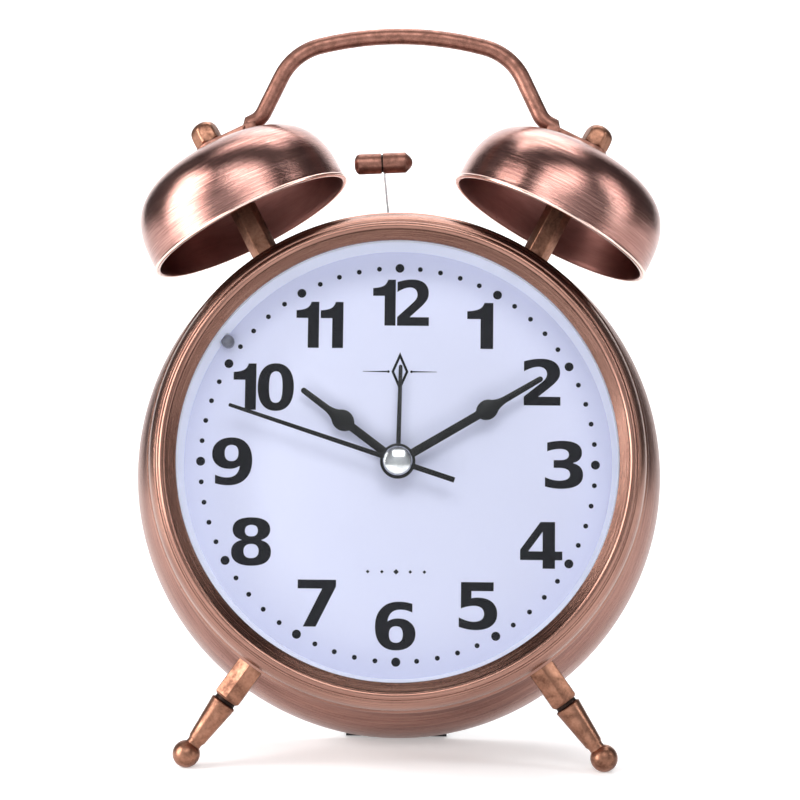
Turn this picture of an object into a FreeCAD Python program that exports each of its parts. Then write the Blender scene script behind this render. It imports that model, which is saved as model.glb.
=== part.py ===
import FreeCAD, Part
import math
import os

# Twin-bell alarm clock.  Everything is drawn in the clock's own frame:
#   x to the right seen from the front, y from the dial towards the back cover,
#   z towards twelve o'clock, origin at the dial centre on the dial's face.
# At the end the whole clock is leaned back about x until the two ball feet and
# the pad of the back cover stand on z = 0, and the origin is put in the middle
# of the footprint of its bounding box.
# All lengths are millimetres.

os.makedirs("parts", exist_ok=True)
V = FreeCAD.Vector

# ---------------------------------------------------------------- dimensions
SHEET = 0.8            # sheet thickness of the case
R_DRUM = 53.4          # outer radius of the front drum of the case
R_REAR = 62.4          # outer radius of the flared rear rim
Y_FRONT = -11.2        # front edge of the drum
Y_FLARE0 = 9.0         # flare starts
Y_FLARE1 = 33.0        # flare ends
Y_HEM = 37.0           # rear edge of the rolled hem

R_BEZEL_IN = 48.3
Y_BEZEL_IN = -12.4
Y_LIP = -9.2

GLASS_R = 50.3
GLASS_Y0, GLASS_Y1 = -11.5, -9.9

DIAL_R = 51.0
DIAL_T = 0.5

Y_BELL = 5.0           # plane of bells, posts, handle, hammer and legs
BELL_R = 24.1
BELL_H = 20.0
BELL_T = 0.9
BELL_X, BELL_Z = 33.9, 54.2     # centre of the bell's rim
BELL_TILT = 27.5                # bell axis from vertical, outwards

POST_AF = 5.5
FINIAL_AF = 6.0
FINIAL_TIP = 27.2               # above the rim plane

ROD_D = 3.7                     # handle rod
HANDLE_TOP = 99.3               # centre line at the top
HANDLE_TOP_R = 75.0
HANDLE_CORNER_R = 13.5
HANDLE_LEG_SLOPE = 25.0
HANDLE_LEG_PT = (29.75, 85.4)

LEG_ANGLE = 35.6                # from straight down
LEG_AF = 6.0
LEG_HEX_END = 64.8
LEG_CONE_END = 76.6
BALL_AT = 79.75
BALL_R = 3.05

HAMMER_PIVOT_Z = 30.0
HAMMER_ANGLE = -5.87            # wire's lean at rest, negative to the left
HAMMER_LEN = 39.57              # pivot to head centre
HEAD_R = 2.35
HEAD_L = 13.3

COVER_Y0, COVER_Y1 = 34.6, 36.6
COVER_R = 61.2

TIME_ARBOR = (-12.0, 0.0)       # (x, z)
ALARM_ARBOR = (14.0, 0.0)
KNOB_R = 5.6
CRANK_C = (0.0, 20.5)
MOTOR_C = (-9.5, 20.5)

AA_R = 7.05
AA_Y = 27.85
AA_Z = (-22.0, -37.4)

PILLARS = [(47.5, a) for a in (65.0, 115.0, 245.0, 295.0)]

# time-of-day angles at rest, clockwise from twelve
ANG_HOUR, ANG_MIN, ANG_SEC, ANG_ALARM = 306.8, 59.3, 288.0, 1.1


# ---------------------------------------------------------------- helpers
def rad(a):
    return math.radians(a)


def poly(pts):
    pts = [V(*p) for p in pts]
    if (pts[0] - pts[-1]).Length > 1e-9:
        pts.append(pts[0])
    return Part.makePolygon(pts)


def wire_from(segs):
    """segs: start point then ('L', p) or ('A', mid, end) in 3-D tuples."""
    edges = []
    cur = V(*segs[0])
    for s in segs[1:]:
        if s[0] == 'L':
            e = V(*s[1])
            if (e - cur).Length > 1e-7:
                edges.append(Part.LineSegment(cur, e).toShape())
            cur = e
        elif s[0] == 'A':
            edges.append(Part.Arc(cur, V(*s[1]), V(*s[2])).toShape())
            cur = V(*s[2])
        elif s[0] == 'S':
            b = Part.BSplineCurve()
            pts = [cur] + [V(*p) for p in s[1]]
            b.interpolate(pts)
            edges.append(b.toShape())
            cur = pts[-1]
    return Part.Wire(edges)


def outward(s):
    """a solid whose faces point outwards."""
    if s.Volume < 0:
        s = s.reversed()
    return s


def rev_y(segs):
    """revolve a closed (r, y) outline about the y axis."""
    out = [(segs[0][0], segs[0][1], 0)]
    for s in segs[1:]:
        if s[0] == 'L':
            out.append(('L', (s[1][0], s[1][1], 0)))
        elif s[0] == 'A':
            out.append(('A', (s[1][0], s[1][1], 0), (s[2][0], s[2][1], 0)))
        else:
            out.append(('S', [(p[0], p[1], 0) for p in s[1]]))
    out.append(('L', (segs[0][0], segs[0][1], 0)))
    return outward(Part.Face(wire_from(out)).revolve(V(0, 0, 0), V(0, 1, 0), 360))


def rev_poly_y(pts):
    return outward(Part.Face(poly([(r, y, 0) for r, y in pts])).revolve(V(0, 0, 0), V(0, 1, 0), 360))


def rev_z(segs):
    """revolve a closed (r, z) outline about the z axis."""
    out = [(segs[0][0], 0, segs[0][1])]
    for s in segs[1:]:
        if s[0] == 'L':
            out.append(('L', (s[1][0], 0, s[1][1])))
        elif s[0] == 'A':
            out.append(('A', (s[1][0], 0, s[1][1]), (s[2][0], 0, s[2][1])))
        else:
            out.append(('S', [(p[0], 0, p[1]) for p in s[1]]))
    out.append(('L', (segs[0][0], 0, segs[0][1])))
    return outward(Part.Face(wire_from(out)).revolve(V(0, 0, 0), V(0, 0, 1), 360))


def cyl_y(r, y0, y1, x=0, z=0):
    return Part.makeCylinder(r, y1 - y0, V(x, y0, z), V(0, 1, 0))


def tube_y(ro, ri, y0, y1, x=0, z=0):
    return cyl_y(ro, y0, y1, x, z).cut(cyl_y(ri, y0 - 1, y1 + 1, x, z))


def box(x0, x1, y0, y1, z0, z1):
    return Part.makeBox(x1 - x0, y1 - y0, z1 - z0, V(x0, y0, z0))


def hex_z(af, z0, z1, turn=0.0):
    """hexagonal prism along z; turn=0 puts a corner on the -y side."""
    rc = af / math.sqrt(3)
    pts = []
    for k in range(6):
        a = rad(-90 + turn + 60 * k)
        pts.append((rc * math.cos(a), rc * math.sin(a), z0))
    return Part.Face(poly(pts)).extrude(V(0, 0, z1 - z0))


def place(shape, x, z, tilt, y=Y_BELL):
    """shape drawn along +z about the origin -> leaned by tilt degrees from
    straight up towards +x, then moved to (x, y, z)."""
    s = shape.copy()
    s.rotate(V(0, 0, 0), V(0, 1, 0), tilt)
    s.translate(V(x, y, z))
    return s


def polar(r, a):
    """point at radius r, a degrees clockwise from twelve."""
    return r * math.sin(rad(a)), r * math.cos(rad(a))


def involute_half(m, z, r, backlash):
    rp = m * z / 2.0
    rb = rp * math.cos(rad(20))
    base = math.pi / (2 * z) - backlash / (2 * rp)
    inv = lambda t: math.tan(t) - t
    if r <= rb:
        ph = 0.0
    else:
        ph = math.acos(rb / r)
    return base + inv(rad(20)) - inv(ph)


def gear_y(m, z, y0, y1, cx, cz, phase, bore=0.0, add=0.8, ded=1.25, backlash=None):
    """spur gear, axis along y.  phase: angle (radians, from +x towards +z) of a tooth's centre."""
    if backlash is None:
        backlash = 0.24 * m
    rp = m * z / 2.0
    ra, rf = rp + add * m, rp - ded * m
    pts = []
    for k in range(z):
        c = phase + 2 * math.pi * k / z
        rr = [rf, rp - 0.45 * m, rp + 0.15 * m, ra]
        hs = [involute_half(m, z, max(r, rp - 0.45 * m), backlash) for r in rr]
        hs[3] = max(hs[3], 0.12 * m / rp)
        for r, h in zip(rr, hs):
            pts.append((r, c - h))
        for r, h in zip(rr[::-1], hs[::-1]):
            pts.append((r, c + h))
    w = poly([(cx + r * math.cos(a), y0, cz + r * math.sin(a)) for r, a in pts])
    g = Part.Face(w).extrude(V(0, y1 - y0, 0))
    if bore:
        g = g.cut(cyl_y(bore, y0 - 1, y1 + 1, cx, cz))
    return g


def group(*shapes):
    return Part.makeCompound(list(shapes))


def fuse(*shapes):
    s = shapes[0]
    for t in shapes[1:]:
        s = s.fuse(t)
    return s.removeSplitter()


nodes = {}

# ---------------------------------------------------------------- lean angle
bx, bz = polar(BALL_AT, 180 - LEG_ANGLE)


def gap(t):
    s, c = math.sin(t), math.cos(t)
    ball = -Y_BELL * s + bz * c - BALL_R
    rim = -(Y_HEM - 0.8) * s - R_REAR * c - 0.20
    return rim - ball


lo, hi = rad(2), rad(25)
for _ in range(60):
    mid = (lo + hi) / 2
    if gap(mid) > 0:
        lo = mid
    else:
        hi = mid
THETA = (lo + hi) / 2
PLANE = -Y_BELL * math.sin(THETA) + bz * math.cos(THETA) - BALL_R


def z_plane(y):
    """height of the resting plane at depth y, in the clock's own frame."""
    return (PLANE + y * math.sin(THETA)) / math.cos(THETA)


# ---------------------------------------------------------------- case shell
def flare(off):
    """outline of the case wall; off = inward offset."""
    dr, dy = R_REAR - R_DRUM, Y_FLARE1 - Y_FLARE0
    h, w = dr / 2, dy / 2
    R = (h * h + w * w) / (2 * h)
    a = math.asin(w / R)
    c1 = (R_DRUM + R, Y_FLARE0)
    c2 = (R_REAR - R, Y_FLARE1)
    r1, r2 = R + off, R - off
    p0 = (R_DRUM - off, Y_FLARE0)
    m1 = (c1[0] - r1 * math.cos(a / 2), c1[1] + r1 * math.sin(a / 2))
    p1 = (c1[0] - r1 * math.cos(a), c1[1] + r1 * math.sin(a))
    m2 = (c2[0] + r2 * math.cos(a / 2), c2[1] - r2 * math.sin(a / 2))
    p2 = (R_REAR - off, Y_FLARE1)
    return p0, m1, p1, m2, p2


o = flare(0.0)
i = flare(SHEET)
shell = rev_y([
    (R_DRUM, Y_FRONT), ('L', o[0]), ('A', o[1], o[2]), ('A', o[3], o[4]),
    ('L', (R_REAR, Y_HEM - 0.9)),
    ('A', (R_REAR - 0.26, Y_HEM - 0.26), (R_REAR - 0.9, Y_HEM)),
    ('L', (R_REAR - 1.0, Y_HEM)), ('L', (R_REAR - 1.0, Y_HEM - 0.7)), ('L', (R_REAR - SHEET, Y_HEM - 1.2)),
    ('L', i[4]), ('A', i[3], i[2]), ('A', i[1], i[0]), ('L', (R_DRUM - SHEET, Y_FRONT))])

ux, uz = math.sin(rad(BELL_TILT)), math.cos(rad(BELL_TILT))


def on_bell_axis(t, side=1):
    return side * (BELL_X + t * ux), BELL_Z + t * uz


# distance along the bell axis at which the post meets the drum
s_root = -9.0
for _ in range(40):
    px, pz = on_bell_axis(s_root)
    s_root -= (math.hypot(px, pz) - R_DRUM)
STUD_R = 1.6
for side in (1, -1):
    px, pz = on_bell_axis(s_root - 6, side)
    shell = shell.cut(Part.makeCylinder(STUD_R + 0.1, 12, V(px, Y_BELL, pz), V(side * ux, 0, uz)))
    lx, lz = polar(46, 180 - side * LEG_ANGLE)
    shell = shell.cut(Part.makeCylinder(2.0, 12, V(lx, Y_BELL, lz), V(lx, 0, lz)))
# slot for the hammer wire
shell = shell.cut(box(-6.0, 8.0, Y_BELL - 1.6, Y_BELL + 1.6, 45, 60))
nodes["case_shell"] = shell

# ---------------------------------------------------------------- front
nodes["front_bezel"] = rev_y([
    (R_BEZEL_IN, Y_BEZEL_IN),
    ('A', (49.15, -13.45), (50.2, -14.75)),
    ('A', (51.15, -15.35), (51.95, -14.65)),
    ('A', (52.15, -14.3), (52.55, -14.25)),
    ('A', (53.85, -12.6), (54.35, -10.4)),
    ('L', (54.75, -10.0)), ('A', (54.95, -9.6), (54.6, Y_LIP)),
    ('L', (53.5, Y_LIP)), ('L', (53.5, -11.4)),
    ('L', (52.3, -11.6)), ('L', (50.6, -11.6)), ('L', (R_BEZEL_IN, -11.6))])

nodes["front_glass"] = cyl_y(GLASS_R, GLASS_Y0, GLASS_Y1)

ring = rev_poly_y([(47.8, -0.05), (48.25, -9.8), (52.2, -9.8), (52.2, -8.8), (49.3, -8.6), (49.0, -0.05)])
led_x, led_z = polar(46.9, 305.0)
ring = ring.cut(cyl_y(1.75, -3.4, 0.2, led_x, led_z))
nodes["reflector_ring"] = ring

dial = cyl_y(DIAL_R, 0, DIAL_T).cut(cyl_y(3.0, -1, 2)).cut(cyl_y(1.55, -1, 2, led_x, led_z))
nodes["dial_plate"] = dial

nodes["night_light_led"] = fuse(cyl_y(1.45, -1.6, 4.2, led_x, led_z),
                                Part.makeSphere(1.45, V(led_x, -1.6, led_z)),
                                tube_y(1.95, 1.0, 2.55, 3.6, led_x, led_z))

frame = cyl_y(52.2, 0.6, 2.4).cut(cyl_y(7.0, 0, 4))
for a in (0.0, 90.0, 180.0, 270.0):
    qx, qz = polar(37.0, a)
    frame = frame.cut(cyl_y(7.5, 0, 4, qx, qz))
frame = frame.cut(cyl_y(1.55, 0, 4, led_x, led_z))
for r, a in PILLARS:
    qx, qz = polar(r, a)
    frame = frame.fuse(cyl_y(3.0, 2.0, COVER_Y0 - 0.05, qx, qz))
frame = frame.removeSplitter()
for r, a in PILLARS:
    qx, qz = polar(r, a)
    frame = frame.cut(cyl_y(1.35, 20.0, COVER_Y0 + 1, qx, qz))
# notches that clear the nuts of the posts and legs
for sx in (-1, 1):
    qx, qz = polar(50.5, 180 - sx * LEG_ANGLE)
    frame = frame.cut(cyl_y(5.0, 0, 4, qx, qz))
    qx, qz = on_bell_axis(s_root - 3.4, sx)
    frame = frame.cut(cyl_y(4.2, 0, 4, qx, qz))
nodes["dial_frame"] = frame

# ---------------------------------------------------------------- bells
outer = [(24.1, 0.9), (24.08, 3.5), (23.95, 6.2), (23.55, 8.8), (22.75, 11.3), (21.4, 13.7), (19.4, 15.75),
         (16.7, 17.4), (13.3, 18.6), (9.0, 19.45), (4.5, 19.9), (1.7, 20.0)]


def inward(pts, d):
    res = []
    for k, p in enumerate(pts):
        a = pts[max(k - 1, 0)]
        b = pts[min(k + 1, len(pts) - 1)]
        tx, ty = b[0] - a[0], b[1] - a[1]
        n = math.hypot(tx, ty)
        # material is on the axis side and below the dome
        res.append((p[0] - d * ty / n, p[1] + d * tx / n))
    return res


inner = inward(outer, BELL_T)
inner[0] = (outer[0][0] - BELL_T, outer[0][1])
inner[-1] = (1.7, BELL_H - BELL_T)
bell = rev_z([
    (BELL_R - BELL_T + 0.05, 0.0), ('L', (BELL_R + 0.12, 0.0)), ('A', (BELL_R + 0.28, 0.35), (BELL_R + 0.1, 0.7)),
    ('L', outer[0]), ('S', outer[1:]), ('L', inner[-1]), ('S', inner[-2::-1])])
nodes["bell_right"] = place(bell, BELL_X, BELL_Z, BELL_TILT)
nodes["bell_left"] = place(bell, -BELL_X, BELL_Z, -BELL_TILT)

# posts: hexagonal standoff from the drum up to the bell's crown, studs at both ends
post_top = BELL_H - BELL_T - 0.78
for side, nm in ((1, "right"), (-1, "left")):
    h = hex_z(POST_AF, s_root - 3.0, post_top, 30.0)
    h = place(h, side * BELL_X, BELL_Z, side * BELL_TILT)
    h = h.cut(cyl_y(R_DRUM + 0.02, Y_BELL - 8, Y_BELL + 8))
    stud = Part.makeCylinder(STUD_R, post_top - s_root + 8, V(0, 0, s_root - 7.0), V(0, 0, 1))
    tip = Part.makeCylinder(1.45, 25.0 - post_top + 1, V(0, 0, post_top - 1), V(0, 0, 1))
    s2 = place(stud.fuse(tip), side * BELL_X, BELL_Z, side * BELL_TILT)
    nodes["bell_post_" + nm] = h.fuse(s2).removeSplitter()

    w = Part.makeCylinder(3.2, 0.6, V(0, 0, post_top + 0.02), V(0, 0, 1)).cut(
        Part.makeCylinder(1.6, 3, V(0, 0, post_top - 1), V(0, 0, 1)))
    nodes.setdefault("_washer", []).append(place(w, side * BELL_X, BELL_Z, side * BELL_TILT))

    f = hex_z(FINIAL_AF, 21.95, 28, 22.0 * side).common(Part.makeSphere(3.9, V(0, 0, FINIAL_TIP - 3.9)))
    f = f.cut(Part.makeCylinder(1.5, 4.2, V(0, 0, 21.0), V(0, 0, 1)))
    nodes["finial_" + nm] = place(f, side * BELL_X, BELL_Z, side * BELL_TILT)

    # inner nut on the lower stud of the post
    n = hex_z(5.5, s_root - 4.6, s_root - 2.0, 30).cut(Part.makeCylinder(STUD_R, 20, V(0, 0, s_root - 15), V(0, 0, 1)))
    nodes.setdefault("_pnut", []).append(place(n, side * BELL_X, BELL_Z, side * BELL_TILT))
nodes["bell_washers"] = group(*nodes.pop("_washer"))
nodes["post_nuts"] = group(*nodes.pop("_pnut"))

# ---------------------------------------------------------------- carrying handle
# one rod; each end is pressed flat into an eye that sits under the finial
t_rod = BELL_H + 0.05 + ROD_D / 2
ex, ez = on_bell_axis(t_rod)
lsx, lsz = math.sin(rad(HANDLE_LEG_SLOPE)), math.cos(rad(HANDLE_LEG_SLOPE))
# right-hand side: leg line goes up and to the left, eye line goes left and up
# eye point + u * (-uz, ux)   meets   leg point + v * (-lsx, lsz)
a11, a12, a21, a22 = -uz, lsx, ux, -lsz
b1, b2 = HANDLE_LEG_PT[0] - ex, HANDLE_LEG_PT[1] - ez
det = a11 * a22 - a12 * a21
u = (b1 * a22 - a12 * b2) / det
Bx, Bz = ex - u * uz, ez + u * ux
# corner arc, tangent to the leg line and to the top arc
ox, oz = 0.0, HANDLE_TOP - HANDLE_TOP_R
nx, nz = -lsz, -lsx                     # from the leg line towards the inside
ax_, az_ = HANDLE_LEG_PT[0] + nx * HANDLE_CORNER_R, HANDLE_LEG_PT[1] + nz * HANDLE_CORNER_R
dxl, dzl = -lsx, lsz
# |a + v d - o| = top radius - corner radius
px, pz = ax_ - ox, az_ - oz
bq = px * dxl + pz * dzl
cq = px * px + pz * pz - (HANDLE_TOP_R - HANDLE_CORNER_R) ** 2
v = -bq + math.sqrt(bq * bq - cq)
ccx, ccz = ax_ + v * dxl, az_ + v * dzl
T1 = (ccx - nx * HANDLE_CORNER_R, ccz - nz * HANDLE_CORNER_R)
dl = math.hypot(ccx - ox, ccz - oz)
T2 = (ox + (ccx - ox) / dl * HANDLE_TOP_R, oz + (ccz - oz) / dl * HANDLE_TOP_R)
mx, mz = (T1[0] + T2[0]) / 2 - ccx, (T1[1] + T2[1]) / 2 - ccz
ml = math.hypot(mx, mz)
TM = (ccx + mx / ml * HANDLE_CORNER_R, ccz + mz / ml * HANDLE_CORNER_R)
# foot bend
FB = 5.0
turn = math.acos(max(-1, min(1, (-uz) * (-lsx) + ux * lsz)))
tl = FB * math.tan(turn / 2)
E1 = (Bx + uz * tl, Bz - ux * tl)
E2 = (Bx - lsx * tl, Bz + lsz * tl)
bis = ((E1[0] + E2[0]) / 2 - Bx, (E1[1] + E2[1]) / 2 - Bz)
bl = math.hypot(*bis)
dist = FB / math.cos(turn / 2) - FB
EM = (Bx + bis[0] / bl * dist, Bz + bis[1] / bl * dist)
E0 = (E1[0] + uz * 3.0, E1[1] - ux * 3.0)


def P(p, sx=1):
    return (sx * p[0], Y_BELL, p[1])


path = wire_from([P(E0), ('L', P(E1)), ('A', P(EM), P(E2)), ('L', P(T1)), ('A', P(TM), P(T2)),
                  ('A', (0, Y_BELL, HANDLE_TOP), P(T2, -1)), ('A', P(TM, -1), P(T1, -1)), ('L', P(E2, -1)),
                  ('A', P(EM, -1), P(E1, -1)), ('L', P(E0, -1))])
circ = Part.Wire([Part.makeCircle(ROD_D / 2, V(*P(E0)), V(uz, 0, -ux))])
rod = path.makePipeShell([circ], True, True)
EYE_T = 1.75
eyes = []
for side in (1, -1):
    x0 = -(u - tl) - 0.2
    # drawn about the bell axis: local x outwards, z up the axis
    e = Part.makeBox(abs(x0), 7.4, EYE_T, V(x0, -3.7, BELL_H + 0.05))
    e = e.fuse(Part.makeCylinder(3.7, EYE_T, V(0, 0, BELL_H + 0.05), V(0, 0, 1)))
    # shoulders: the flat narrows into the rod
    tri = Part.Face(poly([(x0 - 1, 3.8, 0), (x0 + 4.2, 3.8, 0), (x0 - 1, 1.2, 0)])).extrude(V(0, 0, 40))
    e = e.cut(tri).cut(tri.mirror(V(0, 0, 0), V(0, 1, 0)))
    if side < 0:
        e = e.mirror(V(0, 0, 0), V(1, 0, 0))
    eyes.append(place(e, side * BELL_X, BELL_Z, side * BELL_TILT))
handle = rod.fuse(eyes[0]).fuse(eyes[1]).removeSplitter()
for side in (1, -1):
    hole = Part.makeCylinder(1.55, 12, V(0, 0, 18), V(0, 0, 1))
    handle = handle.cut(place(hole, side * BELL_X, BELL_Z, side * BELL_TILT))
nodes["carry_handle"] = handle

# ---------------------------------------------------------------- legs
leg = hex_z(LEG_AF, 50.0, LEG_HEX_END, 0.0)
leg = leg.common(rev_z([(0, 50.0), ('L', (4, 50.0)), ('L', (4, LEG_HEX_END - 0.45)), ('L', (3.0, LEG_HEX_END)),
                        ('L', (0, LEG_HEX_END))]))
turned = rev_z([(0, LEG_HEX_END - 1), ('L', (2.45, LEG_HEX_END - 1)), ('L', (2.45, LEG_HEX_END + 0.8)),
                ('L', (2.95, LEG_HEX_END + 1.05)), ('L', (2.95, LEG_HEX_END + 1.5)),
                ('L', (1.95, LEG_CONE_END - 0.5)), ('L', (1.7, LEG_CONE_END)),
                ('L', (1.7, BALL_AT)), ('L', (0, BALL_AT))])
stud = Part.makeCylinder(1.9, 8, V(0, 0, 46.6), V(0, 0, 1))
for side, nm in ((1, "right"), (-1, "left")):
    t = 180 - side * LEG_ANGLE
    s = place(leg, 0, 0, t).cut(cyl_y(R_DRUM + 0.02, Y_BELL - 8, Y_BELL + 8))
    s = s.fuse(place(turned, 0, 0, t)).fuse(place(Part.makeSphere(BALL_R, V(0, 0, BALL_AT)), 0, 0, t))
    s = s.fuse(place(stud, 0, 0, t)).removeSplitter()
    nodes["leg_" + nm] = s
    n = hex_z(6.5, 48.6, 51.4, 0).cut(Part.makeCylinder(1.9, 20, V(0, 0, 40), V(0, 0, 1)))
    nodes.setdefault("_lnut", []).append(place(n, 0, 0, t))
nodes["leg_nuts"] = group(*nodes.pop("_lnut"))

# ---------------------------------------------------------------- hammer mechanism
PLATE_Y0, PLATE_Y1 = 14.0, 15.0
plate = box(-19, 19, PLATE_Y0, PLATE_Y1, 12.9, 46.5)
plate = plate.cut(box(9.5, 20, 13, 16, 10, 34)).cut(cyl_y(3.0, 13, 16, *MOTOR_C))
for sx in (-14.0, 14.0):
    plate = plate.cut(cyl_y(1.4, 13, 16, sx, 42.0))
plate = plate.cut(cyl_y(1.0, 13, 16, 0, HAMMER_PIVOT_Z)).cut(cyl_y(1.0, 13, 16, *CRANK_C))
nodes["hammer_bracket"] = plate
nodes["hammer_pivot_pin"] = fuse(cyl_y(1.0, 3.2, PLATE_Y1, 0, HAMMER_PIVOT_Z), cyl_y(1.9, 2.55, 3.2, 0, HAMMER_PIVOT_Z))
nodes["crank_axle"] = fuse(cyl_y(1.0, 9.9, PLATE_Y1, *CRANK_C), cyl_y(1.8, 9.2, 9.9, *CRANK_C))
nodes["bracket_screws"] = group(*[
    fuse(cyl_y(2.6, 12.6, PLATE_Y0, sx, 42.0), cyl_y(1.35, 13.5, 22.0, sx, 42.0)) for sx in (-14.0, 14.0)])

motor = cyl_y(7.7, PLATE_Y1 + 0.02, 32.6, *MOTOR_C).common(box(-30, 30, 0, 60, MOTOR_C[1] - 6.0, MOTOR_C[1] + 6.0))
motor = motor.fuse(cyl_y(2.9, PLATE_Y0 + 0.1, PLATE_Y1 + 1, *MOTOR_C)).removeSplitter()
motor = motor.cut(cyl_y(0.8, 10, 24, *MOTOR_C))
nodes["alarm_motor"] = motor
nodes["motor_pinion"] = fuse(gear_y(0.5, 10, 10.4, 12.4, MOTOR_C[0], MOTOR_C[1], 0.0, 0.0),
                             cyl_y(0.75, 10.0, 23.5, *MOTOR_C), cyl_y(1.6, 12.4, 13.6, *MOTOR_C))
cg = gear_y(0.5, 28, 10.5, 11.9, CRANK_C[0], CRANK_C[1], math.pi + math.pi / 28, 0.0)
cg = cg.fuse(cyl_y(2.6, 11.9, 13.7, *CRANK_C)).fuse(cyl_y(1.05, 8.6, 10.6, CRANK_C[0] + 3.3, CRANK_C[1]))
cg = cg.removeSplitter().cut(cyl_y(1.05, 5, 14, *CRANK_C))
nodes["crank_gear"] = cg

# swinging arm, wire and striker (drawn upright about the pivot, then leaned)
arm = cyl_y(3.0, 3.6, 8.2, 0, 0)
arm = arm.fuse(Part.makeCone(1.4, 1.2, 9.0, V(0, Y_BELL, 0), V(0, 0, 1)))
arm = arm.fuse(box(-2.9, 2.9, 6.2, 8.2, -14.5, 0))
arm = arm.cut(box(-1.2, 1.2, 5, 9, -15, -4.6))
arm = arm.removeSplitter().cut(cyl_y(1.05, 3, 9, 0, 0)).cut(Part.makeCylinder(0.5, 12, V(0, Y_BELL, 3.6), V(0, 0, 1)))
wirez = Part.makeCylinder(0.5, HAMMER_LEN - 3.7 - 1.2, V(0, Y_BELL, 3.7), V(0, 0, 1))
hl = HEAD_L / 2
head = Part.makeCylinder(HEAD_R, HEAD_L - 2.6, V(0, 0, -hl + 1.0), V(0, 0, 1))
head = head.fuse(Part.makeCone(1.9, HEAD_R, 0.6, V(0, 0, -hl + 0.4), V(0, 0, 1)))
head = head.fuse(Part.makeCone(1.2, 1.9, 0.4, V(0, 0, -hl), V(0, 0, 1)))
head = head.fuse(Part.makeCone(HEAD_R, 1.25, 1.2, V(0, 0, hl - 1.6), V(0, 0, 1)))
head = head.fuse(Part.makeCone(1.25, 0.5, 0.4, V(0, 0, hl - 0.4), V(0, 0, 1)))
head = head.removeSplitter().cut(Part.makeCylinder(4, 0.45, V(0, 0, -0.5), V(0, 0, 1)).cut(
    Part.makeCylinder(HEAD_R - 0.35, 2, V(0, 0, -1), V(0, 0, 1))))
head.rotate(V(0, 0, 0), V(0, 1, 0), 90.0 - 3.0 - HAMMER_ANGLE)
head.translate(V(0, Y_BELL, HAMMER_LEN))
head = head.cut(Part.makeCylinder(0.5, 10, V(0, Y_BELL, HAMMER_LEN - 11.2), V(0, 0, 1)))


def lean(s):
    s = s.copy()
    s.rotate(V(0, 0, 0), V(0, 1, 0), HAMMER_ANGLE)
    s.translate(V(0, 0, HAMMER_PIVOT_Z))
    return s


nodes["hammer_arm"] = lean(arm)
nodes["hammer_wire"] = lean(wirez)
nodes["hammer_head"] = lean(head)

# ---------------------------------------------------------------- movement
MX, MZ0, MZ1 = 26.0, -28.0, 12.0
cover = box(-MX, MX, 2.6, 3.8, MZ0, MZ1).cut(cyl_y(2.56, 2, 5))
cover = cover.cut(cyl_y(0.65, 2, 5, *TIME_ARBOR)).cut(cyl_y(0.75, 2, 5, *ALARM_ARBOR))
nodes["movement_cover"] = cover
hs = box(-MX, MX, 3.85, 17.0, MZ0, MZ1).cut(box(-MX + 1.3, MX - 1.3, 3, 15.8, MZ0 + 1.3, MZ1 - 1.3))
hs = hs.cut(cyl_y(0.95, 14, 20, *TIME_ARBOR)).cut(cyl_y(0.95, 14, 20, *ALARM_ARBOR))
INTER = (0.0, -9.6)
ROT = (7.48, -13.42)
for c, r in (((0, 0), 0.55), (INTER, 0.45), (ROT, 0.45)):
    hs = hs.cut(cyl_y(r, 15, 16.5, *c))
# standoffs for the circuit board and the stator
for c in ((-22.0, -24.0), (-8.0, -24.0), (-2.0, -23.9 + 0.4), (17.0, -23.5)):
    hs = hs.fuse(cyl_y(1.2, 14.05, 16.0, *c))
nodes["movement_housing"] = hs.removeSplitter()

# centre arbors, from the inside out: second, minute, hour, alarm
nodes["second_arbor"] = fuse(cyl_y(0.5, -6.6, 16.2), cyl_y(1.2, 9.0, 11.0))
sw = gear_y(0.4, 40, 9.5, 10.4, 0, 0, -math.pi / 2, 1.2)
nodes["second_wheel"] = sw
mp = fuse(cyl_y(1.05, -5.0, 8.6), gear_y(0.5, 12, 7.3, 8.5, 0, 0, math.pi, 0.0), cyl_y(3.6, 8.5, 8.9)).cut(cyl_y(0.56, -8, 12))
nodes["cannon_pinion"] = mp
mw = gear_y(0.5, 36, 7.4, 8.4, TIME_ARBOR[0], TIME_ARBOR[1], math.pi / 36, 0.0)
mw = mw.fuse(gear_y(0.48, 10, 5.7, 7.5, TIME_ARBOR[0], TIME_ARBOR[1], 0.0, 0.0, backlash=0.13))
mw = mw.fuse(cyl_y(0.6, 2.8, 6, *TIME_ARBOR)).fuse(cyl_y(0.9, 8.0, 42.0, *TIME_ARBOR)).removeSplitter()
nodes["minute_wheel"] = mw
hw = gear_y(0.48, 40, 5.8, 6.8, 0, 0, math.pi + math.pi / 40, 0.0, backlash=0.13)
hw = fuse(hw, cyl_y(1.72, -3.5, 6.0)).cut(cyl_y(1.12, -8, 12))
nodes["hour_wheel"] = hw
aw = gear_y(0.5, 40, 4.2, 5.2, 0, 0, 0.0, 0.0)
aw = fuse(aw, cyl_y(2.5, -2.1, 4.8)).cut(cyl_y(1.78, -8, 12))
nodes["alarm_wheel"] = aw
ap = gear_y(0.5, 16, 4.1, 5.3, ALARM_ARBOR[0], ALARM_ARBOR[1], math.pi + math.pi / 16, 0.0)
ap = fuse(ap, cyl_y(0.7, 2.8, 5, *ALARM_ARBOR), cyl_y(0.9, 5.0, 42.0, *ALARM_ARBOR))
nodes["alarm_set_pinion"] = ap

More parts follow.
